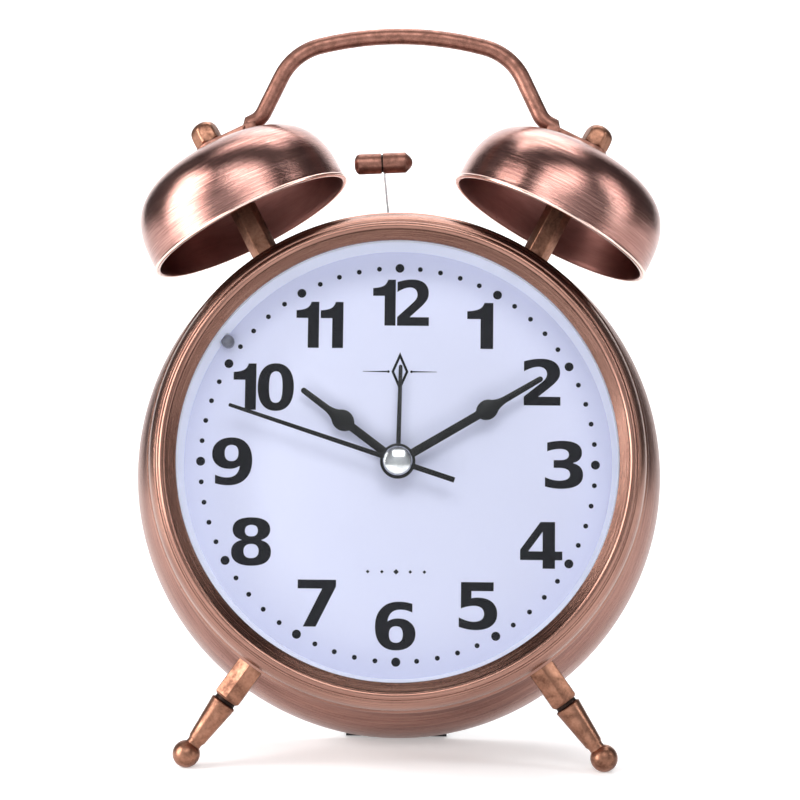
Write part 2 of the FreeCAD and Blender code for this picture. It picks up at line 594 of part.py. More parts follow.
iw = gear_y(0.4, 8, 9.3, 10.7, INTER[0], INTER[1], math.pi / 2 + math.pi / 8, 0.0, backlash=0.12)
d_ir = math.atan2(ROT[1] - INTER[1], ROT[0] - INTER[0])
iw = iw.fuse(gear_y(0.3, 48, 11.2, 12.0, INTER[0], INTER[1], d_ir, 0.0, backlash=0.09))
iw = iw.fuse(cyl_y(0.7, 10.5, 11.4, *INTER)).fuse(cyl_y(0.4, 8.2, 16.2, *INTER)).removeSplitter()
nodes["intermediate_wheel"] = iw
rt = gear_y(0.3, 8, 11.0, 12.3, ROT[0], ROT[1], d_ir + math.pi + math.pi / 8, 0.0, backlash=0.09)
rt = fuse(rt, cyl_y(2.0, 12.5, 14.6, *ROT), cyl_y(0.55, 12.2, 12.8, *ROT), cyl_y(0.4, 10.3, 16.2, *ROT))
nodes["rotor"] = rt

st = box(-3, 18, 13.0, 14.0, -24.3, -10.7).cut(box(-0.6, 15.4, 12, 15, -20.9, -17.0)).cut(cyl_y(2.3, 12, 15, *ROT))
nodes["stator"] = st
cl = Part.makeCylinder(3.2, 13.0, V(1.0, 13.5, -22.6), V(1, 0, 0)).common(box(0, 15, 9, 15.7, -26, -19.6))
cl = cl.fuse(box(0.2, 1.0, 10.5, 15.6, -25.8, -19.9)).fuse(box(14.0, 14.8, 10.5, 15.6, -25.8, -19.9)).removeSplitter()
# the bobbin sits around the lower bar of the stator
nodes["drive_coil"] = cl.cut(box(-4, 19, 12.95, 14.05, -24.35, -20.85)).cut(box(-4, 19, 12.95, 14.05, -20.9, -17))
pcb = box(-24.2, -5.0, 12.95, 14.0, -26.2, -8.5)
nodes["circuit_board"] = pcb
nodes["quartz_crystal"] = Part.makeCylinder(1.0, 6.2, V(-18, 11.95, -20), V(0, 0, 1))

# ---------------------------------------------------------------- hands
H_ALARM, H_HOUR, H_MIN, H_SEC = (-1.7, -1.3), (-3.1, -2.7), (-4.5, -4.1), (-6.0, -5.6)


def flat_hand(outline, yr, angle, bore):
    """outline drawn pointing up (x, z); turned clockwise by angle."""
    w = wire_from([(outline[0][0], yr[0], outline[0][1])] + [
        ('L', (p[1][0], yr[0], p[1][1])) if p[0] == 'L' else
        ('A', (p[1][0], yr[0], p[1][1]), (p[2][0], yr[0], p[2][1])) for p in outline[1:]])
    s = Part.Face(w).extrude(V(0, yr[1] - yr[0], 0))
    s = s.cut(cyl_y(bore, -9, 2))
    s.rotate(V(0, 0, 0), V(0, 1, 0), angle)
    return s


def spade(length, bulb_at, bulb_r, hub_r, stem_w, neck_w, tip_w):
    """spade hand: round hub, straight stem, pear-shaped bulb, slim point."""
    h = stem_w / 2
    a0 = math.asin(h / hub_r)
    zs = hub_r * math.cos(a0)
    zb = bulb_at
    n = neck_w / 2
    pts = [(0.0, -hub_r), ('A', (hub_r * math.sin(rad(70)), hub_r * -math.cos(rad(70))), (h, zs)),
           ('L', (h, zb - bulb_r * 1.15)),
           ('A', (bulb_r * 0.98, zb - bulb_r * 0.15), (bulb_r * 0.62, zb + bulb_r * 0.78)),
           ('A', (n * 1.25, zb + bulb_r * 1.35), (n, zb + bulb_r * 2.1)),
           ('L', (tip_w / 2, length - tip_w / 2)), ('A', (0, length), (-tip_w / 2, length - tip_w / 2)),
           ('L', (-n, zb + bulb_r * 2.1)),
           ('A', (-n * 1.25, zb + bulb_r * 1.35), (-bulb_r * 0.62, zb + bulb_r * 0.78)),
           ('A', (-bulb_r * 0.98, zb - bulb_r * 0.15), (-h, zb - bulb_r * 1.15)),
           ('L', (-h, zs)), ('A', (-hub_r * math.sin(rad(70)), hub_r * -math.cos(rad(70))), (0.0, -hub_r))]
    return pts


nodes["hour_hand"] = flat_hand(spade(27.0, 15.6, 2.35, 3.6, 1.9, 1.5, 1.3), H_HOUR, ANG_HOUR, 1.73)
nodes["minute_hand"] = flat_hand(spade(37.2, 23.2, 2.25, 3.3, 1.9, 1.5, 1.25), H_MIN, ANG_MIN, 1.06)
sec = [(0.0, -3.9), ('A', (2.76, -2.76), (3.9, 0.0)), ('A', (2.76, 2.76), (0.55, 3.861)),
       ('L', (0.28, 39.3)), ('A', (0, 39.5), (-0.28, 39.3)), ('L', (-0.55, 3.861)),
       ('A', (-2.76, 2.76), (-3.9, 0.0)), ('A', (-2.76, -2.76), (0.0, -3.9))]
sh = flat_hand(sec, H_SEC, 0.0, 0.51)
tail = box(-0.6, 0.6, H_SEC[0], H_SEC[1], -13.2, -3.2)
sh = sh.fuse(tail).removeSplitter()
sh.rotate(V(0, 0, 0), V(0, 1, 0), ANG_SEC)
nodes["second_hand"] = sh
al = [(0.0, -3.3), ('A', (3.12, -1.07), (0.5, 3.262)), ('L', (0.42, 21.6)), ('A', (0, 22.0), (-0.42, 21.6)), ('L', (-0.5, 3.262)),
      ('A', (-3.12, -1.07), (0.0, -3.3))]
nodes["alarm_hand"] = flat_hand(al, H_ALARM, ANG_ALARM, 2.51)
cap = rev_y([(0.0, -8.1), ('A', (2.0, -7.55), (3.25, -6.35)), ('L', (3.25, -6.02)), ('L', (0.51, -6.02)), ('L', (0.51, -6.62)), ('L', (0, -6.62))])
nodes["hub_cap"] = cap


# ---------------------------------------------------------------- back cover
bc = rev_poly_y([(0, COVER_Y0), (COVER_R, COVER_Y0), (COVER_R, 36.2), (60.6, COVER_Y1), (0, COVER_Y1)])
# battery tray, open to the back
tray = box(-29.8, 29.8, 19.4, COVER_Y0 + 0.5, -46.2, -13.2)
bc = bc.fuse(tray)
bc = bc.cut(box(-28.6, 28.6, 20.6, 40, -45.0, -14.4))
bc = bc.cut(box(-31.3, 31.3, 35.0, 40, -47.7, -11.7))
bc = bc.cut(Part.makeCylinder(0.5, 64.4, V(-32.2, 35.85, -46.6), V(1, 0, 0)))
for sx in (-14.0, 14.0):
    bc = bc.fuse(cyl_y(2.8, PLATE_Y1 + 0.02, COVER_Y0 + 0.5, sx, 42.0))
# pad the clock rests on
pad = Part.Face(poly([(-12, 36.0, -59.4), (-12, 38.6, -59.4), (-12, 38.6, z_plane(38.6)), (-12, 41.5, z_plane(41.5)),
                      (-12, 41.5, -57.2), (-12, 40.0, -55.4), (-12, 36.0, -55.4)])).extrude(V(24, 0, 0))
bc = bc.fuse(pad).removeSplitter()
for c in (TIME_ARBOR, ALARM_ARBOR):
    bc = bc.cut(cyl_y(1.3, 30, 40, *c))
    bc = bc.cut(cyl_y(7.4, 35.9, 40, *c))
bc = bc.cut(box(17.0, 27.4, 30, 40, 26.4, 29.6))
bc = bc.cut(cyl_y(3.75, 30, 40, -22.0, 28.0))
for r, a in PILLARS:
    qx, qz = polar(r, a)
    bc = bc.cut(cyl_y(1.6, 30, 40, qx, qz)).cut(cyl_y(3.1, 35.4, 40, qx, qz))
for sx in (-14.0, 14.0):
    bc = bc.cut(cyl_y(1.35, 10, 24.0, sx, 42.0))
nodes["back_cover"] = bc

scr = []
for r, a in PILLARS:
    qx, qz = polar(r, a)
    hd = fuse(cyl_y(2.8, 35.45, 37.3, qx, qz), cyl_y(1.35, 22.5, 36.0, qx, qz))
    hd = hd.cut(box(qx - 2.2, qx + 2.2, 36.6, 38, qz - 0.35, qz + 0.35)).cut(box(qx - 0.35, qx + 0.35, 36.6, 38, qz - 2.2, qz + 2.2))
    scr.append(hd)
nodes["cover_screws"] = group(*scr)

# the lower edge is round about the hinge axis, and a pin at each end turns in the cover
HINGE = (35.85, -46.6)      # (y, z)
door = box(-31.0, 31.0, 35.05, 36.65, HINGE[1], -12.0)
door = door.fuse(Part.makeCylinder(0.8, 62.0, V(-31.0, HINGE[0], HINGE[1]), V(1, 0, 0)))
door = door.fuse(Part.makeCylinder(0.45, 64.0, V(-32.0, HINGE[0], HINGE[1]), V(1, 0, 0)))
door = door.cut(box(-7, 7, 35.9, 38, -18.6, -14.2))
for k in range(4):
    door = door.fuse(box(-6.4, 6.4, 35.5, 36.4, -17.9 + k * 1.0, -17.4 + k * 1.0))
nodes["battery_door"] = door.removeSplitter()


def cell(z, flip):
    s = 1 if not flip else -1
    prof = [(0, 0.0), (AA_R - 0.5, 0.0), (AA_R, 0.5), (AA_R, 48.6), (AA_R - 0.6, 49.2), (2.7, 49.2), (2.7, 50.1), (2.5, 50.3), (0, 50.3)]
    c = Part.Face(poly([(r, 0, h) for r, h in prof])).revolve(V(0, 0, 0), V(0, 0, 1), 360)
    c.rotate(V(0, 0, 0), V(0, 1, 0), 90)
    c.translate(V(-22.2, AA_Y, z))
    if flip:
        c = c.mirror(V(0, 0, 0), V(1, 0, 0))
    return c


nodes["batteries"] = group(cell(AA_Z[0], False), cell(AA_Z[1], True))
plates = []
springs = []
for z, s in ((AA_Z[0], 1), (AA_Z[1], -1)):
    for e in (1, -1):
        xa, xb = sorted((e * 28.58, e * 28.18))
        plates.append(box(xa, xb, 22.5, 33.8, z - 5.2, z + 5.2))
    # envelope of the coil spring: outer and inner diameter of its turns
    sp = Part.makeCylinder(3.3, 5.6, V(-28.1, AA_Y, z), V(1, 0, 0)).cut(
        Part.makeCylinder(2.5, 8, V(-29, AA_Y, z), V(1, 0, 0)))
    if s < 0:
        sp = sp.mirror(V(0, 0, 0), V(1, 0, 0))
    springs.append(sp)
nodes["battery_contacts"] = group(*plates)
nodes["battery_springs"] = group(*springs)


def knob(c):
    x, z = c
    k = Part.makeCylinder(KNOB_R, 5.6, V(x, 37.0, z), V(0, 1, 0))
    k = k.makeChamfer(0.5, [e for e in k.Edges if abs(e.BoundBox.YMin - 42.6) < 0.01 and abs(e.BoundBox.YMax - 42.6) < 0.01])
    for n in range(18):
        a = 2 * math.pi * n / 18
        k = k.cut(cyl_y(0.55, 37.6, 43, x + (KNOB_R + 0.12) * math.cos(a), z + (KNOB_R + 0.12) * math.sin(a)))
    k = k.fuse(cyl_y(2.4, 36.2, 37.2, x, z)).removeSplitter()
    return k.cut(cyl_y(0.9, 30, 42.0, x, z))


nodes["time_knob"] = knob(TIME_ARBOR)
nodes["alarm_knob"] = knob(ALARM_ARBOR)

sw = fuse(box(14.0, 24.5, 33.1, 34.2, 24.5, 31.5), box(17.4, 21.6, 33.6, 38.2, 26.7, 29.3))
for k in range(3):
    sw = sw.cut(box(18.1 + k * 1.15, 18.6 + k * 1.15, 37.7, 39, 26, 30))
nodes["alarm_switch"] = sw
nodes["light_button"] = fuse(cyl_y(3.5, 33.0, 38.6, -22.0, 28.0), cyl_y(4.7, 32.6, 33.6, -22.0, 28.0))

# ---------------------------------------------------------------- lean back and set the origin
names = sorted(nodes)
for n in names:
    s = nodes[n]
    s.rotate(V(0, 0, 0), V(1, 0, 0), -math.degrees(THETA))
    s.translate(V(0, 0, -PLANE * 1.0))
allc = Part.makeCompound([nodes[n] for n in names])
bb = allc.optimalBoundingBox(False, False)
SHIFT_X = -(bb.XMin + bb.XMax) / 2
SHIFT_Y = -(bb.YMin + bb.YMax) / 2
print("lean %.6f deg, plane %.6f, shift %.6f %.6f" % (math.degrees(THETA), PLANE, SHIFT_X, SHIFT_Y))
print("size %.3f %.3f %.3f, lowest %.4f" % (bb.XLength, bb.YLength, bb.ZLength, bb.ZMin))
for n in names:
    s = nodes[n]
    s.translate(V(SHIFT_X, SHIFT_Y, 0))
    ok = s.isValid()
    if not ok or not s.Solids:
        print("CHECK", n, "valid", ok, "solids", len(s.Solids))
    s.exportStep("parts/" + n + ".step")
print(len(names), "nodes")
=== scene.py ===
import bpy
import bmesh
import math
from mathutils import Matrix, Vector


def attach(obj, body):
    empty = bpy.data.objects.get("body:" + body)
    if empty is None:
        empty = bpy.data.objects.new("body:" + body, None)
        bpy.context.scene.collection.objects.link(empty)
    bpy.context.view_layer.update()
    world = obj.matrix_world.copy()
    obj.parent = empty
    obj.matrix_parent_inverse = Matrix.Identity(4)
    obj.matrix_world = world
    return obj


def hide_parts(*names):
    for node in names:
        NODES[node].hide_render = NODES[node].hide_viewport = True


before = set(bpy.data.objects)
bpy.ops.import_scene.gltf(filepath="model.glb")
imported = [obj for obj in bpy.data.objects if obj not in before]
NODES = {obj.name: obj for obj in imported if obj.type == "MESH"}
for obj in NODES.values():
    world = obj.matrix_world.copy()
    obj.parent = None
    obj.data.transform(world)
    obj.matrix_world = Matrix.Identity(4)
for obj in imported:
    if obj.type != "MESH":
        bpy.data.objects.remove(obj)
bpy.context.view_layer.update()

# ------------------------------------------------------------------ frames
# The clock's own frame (mm): x right, y from the dial to the back, z to twelve
# o'clock, origin at the dial's centre.  The clock leans back by THETA.
THETA = math.radians(9.705451)
CT, ST = math.cos(THETA), math.sin(THETA)
CLOCK = Matrix(((0.001, 0, 0, 0),
                (0, 0.001 * CT, 0.001 * ST, -0.01154875),
                (0, -0.001 * ST, 0.001 * CT, 0.067809606),
                (0, 0, 0, 1)))
DIAL = CLOCK @ Matrix(((1, 0, 0, 0), (0, 0, 1, 0), (0, -1, 0, 0), (0, 0, 0, 1)))   # lathe axis -> clock +y
Y_BELL = 5.0
BELL_X, BELL_Z, BELL_TILT = 33.9, 54.2, 27.5
LEG_ANGLE = 35.6


def leaned(x, z, tilt, y=Y_BELL):
    """local z leaned by tilt degrees from straight up towards +x, moved to (x, y, z)."""
    return CLOCK @ Matrix.Translation((x, y, z)) @ Matrix.Rotation(math.radians(tilt), 4, 'Y')


def polar(r, a):
    return r * math.sin(math.radians(a)), r * math.cos(math.radians(a))


# ------------------------------------------------------------------ materials
class Mat:
    """a node material with one Principled shader and short ways to add nodes."""

    def __init__(self, name, **values):
        self.m = bpy.data.materials.new(name)
        self.m.use_nodes = True
        self.nt = self.m.node_tree
        self.nt.nodes.clear()
        self.out = self.nt.nodes.new("ShaderNodeOutputMaterial")
        self.b = self.nt.nodes.new("ShaderNodeBsdfPrincipled")
        self.nt.links.new(self.b.outputs[0], self.out.inputs[0])
        for k, v in values.items():
            self.b.inputs[k.replace("_", " ")].default_value = v
        self._obj = None

    def link(self, a, b):
        self.nt.links.new(a, b)

    def new(self, kind, **props):
        n = self.nt.nodes.new(kind)
        for k, v in props.items():
            setattr(n, k, v)
        return n

    def obj(self):
        if self._obj is None:
            self._obj = self.new("ShaderNodeTexCoord").outputs["Object"]
        return self._obj

    def attr(self, name):
        return self.new("ShaderNodeAttribute", attribute_name=name).outputs["Vector"]

    def scaled(self, vec, scale, loc=(0, 0, 0), rot=(0, 0, 0)):
        n = self.new("ShaderNodeMapping")
        n.inputs["Scale"].default_value = scale
        n.inputs["Location"].default_value = loc
        n.inputs["Rotation"].default_value = rot
        self.link(vec, n.inputs["Vector"])
        return n.outputs[0]

    def noise(self, vec, scale, detail=3.0, rough=0.55, dist=0.0, lac=2.0):
        n = self.new("ShaderNodeTexNoise")
        n.inputs["Scale"].default_value = scale
        n.inputs["Detail"].default_value = detail
        n.inputs["Roughness"].default_value = rough
        n.inputs["Distortion"].default_value = dist
        n.inputs["Lacunarity"].default_value = lac
        self.link(vec, n.inputs["Vector"])
        return n.outputs["Fac"]

    def voronoi(self, vec, scale, feature="F1", rand=1.0):
        n = self.new("ShaderNodeTexVoronoi", feature=feature)
        n.inputs["Scale"].default_value = scale
        n.inputs["Randomness"].default_value = rand
        self.link(vec, n.inputs["Vector"])
        return n.outputs["Distance"]

    def ramp(self, fac, stops, ease="LINEAR"):
        n = self.new("ShaderNodeValToRGB")
        n.color_ramp.interpolation = ease
        e = n.color_ramp.elements
        while len(e) < len(stops):
            e.new(0.5)
        for el, (p, c) in zip(e, stops):
            el.position = p
            el.color = (c[0], c[1], c[2], 1.0) if hasattr(c, "__len__") else (c, c, c, 1.0)
        self.link(fac, n.inputs[0])
        return n.outputs[0]

    def remap(self, fac, a, b, lo=0.3, hi=0.7):
        n = self.new("ShaderNodeMapRange")
        n.inputs["From Min"].default_value = lo
        n.inputs["From Max"].default_value = hi
        n.inputs["To Min"].default_value = a
        n.inputs["To Max"].default_value = b
        self.link(fac, n.inputs[0])
        return n.outputs[0]

    def mix(self, fac, a, b, mode="MIX"):
        n = self.new("ShaderNodeMix", data_type="RGBA", blend_type=mode)
        if hasattr(fac, "node"):
            self.link(fac, n.inputs[0])
        else:
            n.inputs[0].default_value = fac
        for v, s in ((a, n.inputs[6]), (b, n.inputs[7])):
            if hasattr(v, "node"):
                self.link(v, s)
            else:
                s.default_value = (v[0], v[1], v[2], 1.0)
        return n.outputs[2]

    def math(self, op, a, b=0.0, clamp=False):
        n = self.new("ShaderNodeMath", operation=op, use_clamp=clamp)
        for v, s in ((a, n.inputs[0]), (b, n.inputs[1])):
            if hasattr(v, "node"):
                self.link(v, s)
            else:
                s.default_value = v
        return n.outputs[0]

    def bump(self, height, strength, distance, normal=None):
        n = self.new("ShaderNodeBump")
        n.inputs["Strength"].default_value = strength
        n.inputs["Distance"].default_value = distance
        self.link(height, n.inputs["Height"])
        if normal is not None:
            self.link(normal, n.inputs["Normal"])
        return n.outputs[0]

    def set(self, **links):
        for k, v in links.items():
            self.link(v, self.b.inputs[k.replace("_", " ")])
        return self.m


def brushed_copper(name, light, mid, dark, rough=(0.2, 0.36), seed=0.0, aniso=0.55, streak=1.0, patch=1.0):
    """antique copper brushed round the piece.  Attribute lz holds (cos, sin, mm along the outline)."""
    k = Mat(name, Metallic=1.0, Anisotropic=aniso)
    lz = k.attr("lz")
    fine = k.noise(k.scaled(lz, (1.2, 1.2, 5.0), (seed, 0, 0)), 1.6, 4.0, 0.75)
    hair = k.noise(k.scaled(lz, (3.0, 3.0, 26.0), (0, seed, 3)), 1.0, 3.0, 0.8)
    broad = k.noise(k.scaled(lz, (1.1, 1.1, 0.16), (seed, 2, 1)), 1.3, 3.0, 0.6, 0.6)
    tone = k.math("MULTIPLY", k.math("SUBTRACT", k.math("ADD", fine, hair), 1.0), 0.5 * streak)
    tone = k.math("ADD", tone, 0.5)
    tone = k.math("ADD", tone, k.math("MULTIPLY", k.math("SUBTRACT", broad, 0.5), 0.55 * patch))
    col = k.ramp(tone, [(0.24, dark), (0.46, mid), (0.68, light)])
    # small spots of darker oxide
    spots = k.noise(k.obj(), 900.0, 2.0, 0.6)
    col = k.mix(k.remap(spots, 0.0, 0.35, 0.66, 0.74), col, dark)
    r = k.remap(k.math("ADD", k.math("MULTIPLY", fine, 0.6), k.math("MULTIPLY", hair, 0.4)), rough[0], rough[1], 0.3, 0.7)
    n = k.bump(k.math("ADD", fine, k.math("MULTIPLY", hair, 1.4)), 0.16, 0.00008)
    # the brush marks run round the piece, so highlights spread along its outline
    tg = k.new("ShaderNodeTangent", direction_type="UV_MAP", uv_map="UVMap")
    k.b.inputs["Anisotropic Rotation"].default_value = 0.25
    return k.set(Base_Color=col, Roughness=r, Normal=n, Tangent=tg.outputs[0])


def turned_brass(name, light, mid, dark, rough=(0.28, 0.48), scale=260.0, metal=1.0):
    """brown antique plating with a mottled patina on turned and bent parts."""
    k = Mat(name, Metallic=metal)
    o = k.obj()
    mott = k.noise(o, scale, 5.0, 0.62, 0.4)
    fine = k.noise(o, scale * 7, 3.0, 0.6)
    pits = k.voronoi(o, scale * 5.5)
    tone = k.math("ADD", k.math("MULTIPLY", mott, 0.75), k.math("MULTIPLY", fine, 0.25))
    col = k.ramp(tone, [(0.36, dark), (0.5, mid), (0.64, light)])
    col = k.mix(k.remap(pits, 0.3, 0.0, 0.0, 0.16), col, dark)
    r = k.remap(tone, rough[1], rough[0], 0.36, 0.64)
    n = k.bump(k.math("ADD", mott, k.math("MULTIPLY", fine, 0.5)), 0.12, 0.00008)
    return k.set(Base_Color=col, Roughness=r, Normal=n)


def plastic(name, base, var, rough, grain=2600.0, depth=0.00003, strength=0.35, patch=60.0, **v):
    """moulded plastic: a fine spark-eroded grain and a slow change of tone and gloss."""
    k = Mat(name, **v)
    o = k.obj()
    slow = k.noise(o, patch, 3.0, 0.55)
    fine = k.noise(o, grain, 2.0, 0.6)
    col = k.mix(k.remap(slow, 0.0, 1.0), base, var)
    r = k.remap(k.math("ADD", k.math("MULTIPLY", slow, 0.5), k.math("MULTIPLY", fine, 0.5)), rough[0], rough[1])
    n = k.bump(fine, strength, depth)
    return k.set(Base_Color=col, Roughness=r, Normal=n)


def bare_metal(name, light, dark, rough, scale=400.0, stretch=(1, 1, 1), bump=0.1, metal=1.0):
    k = Mat(name, Metallic=metal)
    v = k.scaled(k.obj(), stretch)
    a = k.noise(v, scale, 4.0, 0.65)
    b = k.noise(v, scale * 6, 2.0, 0.6)
    tone = k.math("ADD", k.math("MULTIPLY", a, 0.6), k.math("MULTIPLY", b, 0.4))
    col = k.mix(k.remap(tone, 0.0, 1.0, 0.38, 0.62), dark, light)
    return k.set(Base_Color=col, Roughness=k.remap(tone, rough[1], rough[0]), Normal=k.bump(b, bump, 0.00004))


M = {}
M["bell"] = brushed_copper("bell_copper_brushed", (0.60, 0.35, 0.30), (0.33, 0.165, 0.14), (0.12, 0.055, 0.05), (0.14, 0.28), 1.3, 0.3, 1.6, 0.4)
M["bell_in"] = brushed_copper("bell_copper_inside", (0.34, 0.16, 0.135), (0.25, 0.11, 0.095), (0.13, 0.055, 0.05), (0.30, 0.48), 4.1, 0.3, 0.7)
M["rim"] = brushed_copper("copper_cut_edge", (0.95, 0.74, 0.66), (0.88, 0.62, 0.54), (0.66, 0.42, 0.36), (0.16, 0.26), 2.0, 0.0, 0.5, 0.3)
M["case"] = brushed_copper("case_copper_brushed", (0.44, 0.245, 0.195), (0.24, 0.122, 0.10), (0.09, 0.042, 0.036), (0.20, 0.36), 7.7, 0.3, 1.4, 0.6)
M["bezel"] = brushed_copper("bezel_copper_brushed", (0.46, 0.262, 0.205), (0.27, 0.14, 0.108), (0.10, 0.048, 0.04), (0.16, 0.32), 3.3, 0.3, 1.3, 0.6)
M["turned"] = turned_brass("antique_brass_turned", (0.38, 0.19, 0.125), (0.27, 0.13, 0.084), (0.13, 0.06, 0.04), (0.3, 0.46))
M["handle"] = turned_brass("antique_copper_rod", (0.34, 0.165, 0.125), (0.26, 0.122, 0.092), (0.17, 0.08, 0.06), (0.38, 0.5), 520.0)
# near-black: painted shade in the narrow neck of each leg and the groove round the striker head
M["groove"] = turned_brass("groove_painted_shade", (0.05, 0.03, 0.025), (0.03, 0.018, 0.015), (0.012, 0.008, 0.007), (0.4, 0.6))
M["steel"] = bare_metal("zinc_plated_steel", (0.62, 0.63, 0.64), (0.40, 0.41, 0.43), (0.22, 0.40))
M["wire"] = bare_metal("spring_wire_bright", (0.80, 0.81, 0.82), (0.55, 0.56, 0.58), (0.12, 0.24), 700.0)
M["chrome"] = bare_metal("chrome_polished", (0.80, 0.81, 0.82), (0.62, 0.63, 0.65), (0.10, 0.22), 900.0, bump=0.04)
M["brass"] = bare_metal("brass_cut", (0.80, 0.60, 0.28), (0.60, 0.42, 0.17), (0.22, 0.36), 500.0)
M["cu_wire"] = bare_metal("enamelled_copper_winding", (0.66, 0.27, 0.12), (0.36, 0.12, 0.05), (0.22, 0.34), 260.0, (0.6, 8, 8), 0.5)
M["black"] = plastic("black_moulded_plastic", (0.016, 0.016, 0.017), (0.026, 0.026, 0.028), (0.42, 0.58))
M["gloss"] = plastic("black_gloss_plastic", (0.012, 0.012, 0.013), (0.02, 0.02, 0.022), (0.22, 0.36), 1500.0, 0.00001, 0.2)
M["white"] = plastic("white_moulded_plastic", (0.66, 0.69, 0.78), (0.72, 0.74, 0.82), (0.34, 0.46), 1800.0, 0.00001, 0.25)
M["acetal"] = plastic("acetal_gear_white", (0.78, 0.77, 0.72), (0.70, 0.69, 0.63), (0.30, 0.44), 1200.0, 0.00001, 0.2)
M["acetal"].node_tree.nodes["Principled BSDF"].inputs["Subsurface Weight"].default_value = 0.15
M["ink"] = plastic("printing_ink_black", (0.007, 0.007, 0.010), (0.012, 0.012, 0.016), (0.5, 0.65), 3000.0, 0.000004, 0.4, 300.0, Specular_IOR_Level=0.12)
M["hand"] = plastic("hand_black_lacquer", (0.006, 0.006, 0.007), (0.013, 0.013, 0.014), (0.3, 0.45), 2200.0, 0.000006, 0.3, 200.0, Specular_IOR_Level=0.2)


def dial_paper():
    k = Mat("dial_lavender_white", **{"Specular_IOR_Level": 0.35})
    o = k.obj()
    slow = k.noise(o, 30.0, 2.0, 0.5)
    fibre = k.noise(o, 1800.0, 3.0, 0.7)
    col = k.mix(k.remap(slow, 0.0, 1.0), (0.755, 0.765, 0.955), (0.775, 0.785, 0.97))
    col = k.mix(k.remap(fibre, 0.0, 0.25, 0.5, 0.8), col, (0.68, 0.69, 0.89))
    return k.set(Base_Color=col, Roughness=k.remap(fibre, 0.42, 0.6), Normal=k.bump(fibre, 0.12, 0.00001))


M["dial"] = dial_paper()


def ring_material_painted_glow():
    # the emission is a painted glow: it brightens the ring, which is no lamp
    k = Mat("pale_blue_ring_painted_glow", **{"Emission_Color": (0.86, 0.87, 1.0, 1.0), "Emission_Strength": 0.19})
    o = k.obj()
    slow = k.noise(o, 55.0, 3.0, 0.55)
    fine = k.noise(o, 2400.0, 2.0, 0.6)
    col = k.mix(k.remap(slow, 0.0, 1.0), (0.83, 0.85, 0.94), (0.87, 0.89, 0.965))
    return k.set(Base_Color=col, Roughness=k.remap(fine, 0.3, 0.42), Normal=k.bump(fine, 0.2, 0.00001))


M["ring"] = ring_material_painted_glow()


def pane_glass():
    """clear glass: what lies behind shows through, with a reflection that grows towards grazing."""
    m = bpy.data.materials.new("front_glass_clear")
    m.use_nodes = True
    nt = m.node_tree
    nt.nodes.clear()
    out = nt.nodes.new("ShaderNodeOutputMaterial")
    mix = nt.nodes.new("ShaderNodeMixShader")
    fr = nt.nodes.new("ShaderNodeFresnel")
    fr.inputs["IOR"].default_value = 1.25
    tr = nt.nodes.new("ShaderNodeBsdfTransparent")
    gl = nt.nodes.new("ShaderNodeBsdfGlossy")
    tc = nt.nodes.new("ShaderNodeTexCoord")
    no = nt.nodes.new("ShaderNodeTexNoise")
    no.inputs["Scale"].default_value = 45.0
    no.inputs["Detail"].default_value = 4.0
    mr = nt.nodes.new("ShaderNodeMapRange")
    mr.inputs["To Min"].default_value = 0.008
    mr.inputs["To Max"].default_value = 0.03
    tint = nt.nodes.new("ShaderNodeMix")
    tint.data_type = "RGBA"
    tint.inputs[6].default_value = (0.985, 0.992, 0.99, 1)
    tint.inputs[7].default_value = (0.975, 0.985, 0.985, 1)
    L = nt.links.new
    L(tc.outputs["Object"], no.inputs["Vector"])
    L(no.outputs["Fac"], mr.inputs[0])
    L(no.outputs["Fac"], tint.inputs[0])
    L(tint.outputs[2], tr.inputs[0])
    L(mr.outputs[0], gl.inputs["Roughness"])
    L(fr.outputs[0], mix.inputs[0])
    L(tr.outputs[0], mix.inputs[1])
    L(gl.outputs[0], mix.inputs[2])
    L(mix.outputs[0], out.inputs[0])
    return m


M["glass"] = pane_glass()


def board_green():
    k = Mat("circuit_board_green")
    o = k.obj()
    weave = k.voronoi(o, 1400.0)
    tracks = k.noise(k.scaled(o, (1, 1, 1)), 260.0, 1.0, 0.3)
    col = k.ramp(tracks, [(0.47, (0.008, 0.075, 0.03)), (0.5, (0.02, 0.16, 0.06))])
    return k.set(Base_Color=col, Roughness=k.remap(weave, 0.28, 0.4, 0, 0.5), Normal=k.bump(weave, 0.3, 0.00002))


M["board"] = board_green()


def led_resin():
    k = Mat("lamp_lens_smoked", **{"Specular_IOR_Level": 0.6, "Transmission_Weight": 0.15})
    o = k.obj()
    a = k.noise(o, 500.0, 3.0, 0.6)
    col = k.mix(k.remap(a, 0.0, 1.0), (0.17, 0.17, 0.20), (0.30, 0.30, 0.34))
    return k.set(Base_Color=col, Roughness=k.remap(a, 0.12, 0.24), Normal=k.bump(a, 0.1, 0.00005))


M["led"] = led_resin()


def cell_wrap():
    """shrink wrap of a dry cell: black sleeve, a copper band at the plus end, bare cap.  lz.z is mm along the cell."""
    k = Mat("cell_wrap_and_cap")
    sep = k.new("ShaderNodeSeparateXYZ")
    k.link(k.attr("loc"), sep.inputs[0])
    z = sep.outputs[2]
    wob = k.noise(k.obj(), 700.0, 3.0, 0.6)
    t = k.math("DIVIDE", z, 51.0)
    col = k.ramp(t, [(0.012, (0.55, 0.56, 0.57)), (0.02, (0.014, 0.014, 0.016)), (0.70, (0.014, 0.014, 0.016)),
                     (0.705, (0.60, 0.30, 0.14)), (0.945, (0.60, 0.30, 0.14)), (0.955, (0.62, 0.63, 0.64))], "CONSTANT")
    col = k.mix(k.remap(wob, 0.0, 0.25), col, (0.1, 0.1, 0.1), "MIX")
    met = k.ramp(t, [(0.012, 1.0), (0.02, 0.0), (0.705, 0.8), (0.955, 1.0)], "CONSTANT")
    return k.set(Base_Color=col, Metallic=met, Roughness=k.remap(wob, 0.2, 0.34), Normal=k.bump(wob, 0.1, 0.00003))


M["cell"] = cell_wrap()

# ------------------------------------------------------------------ mesh helpers


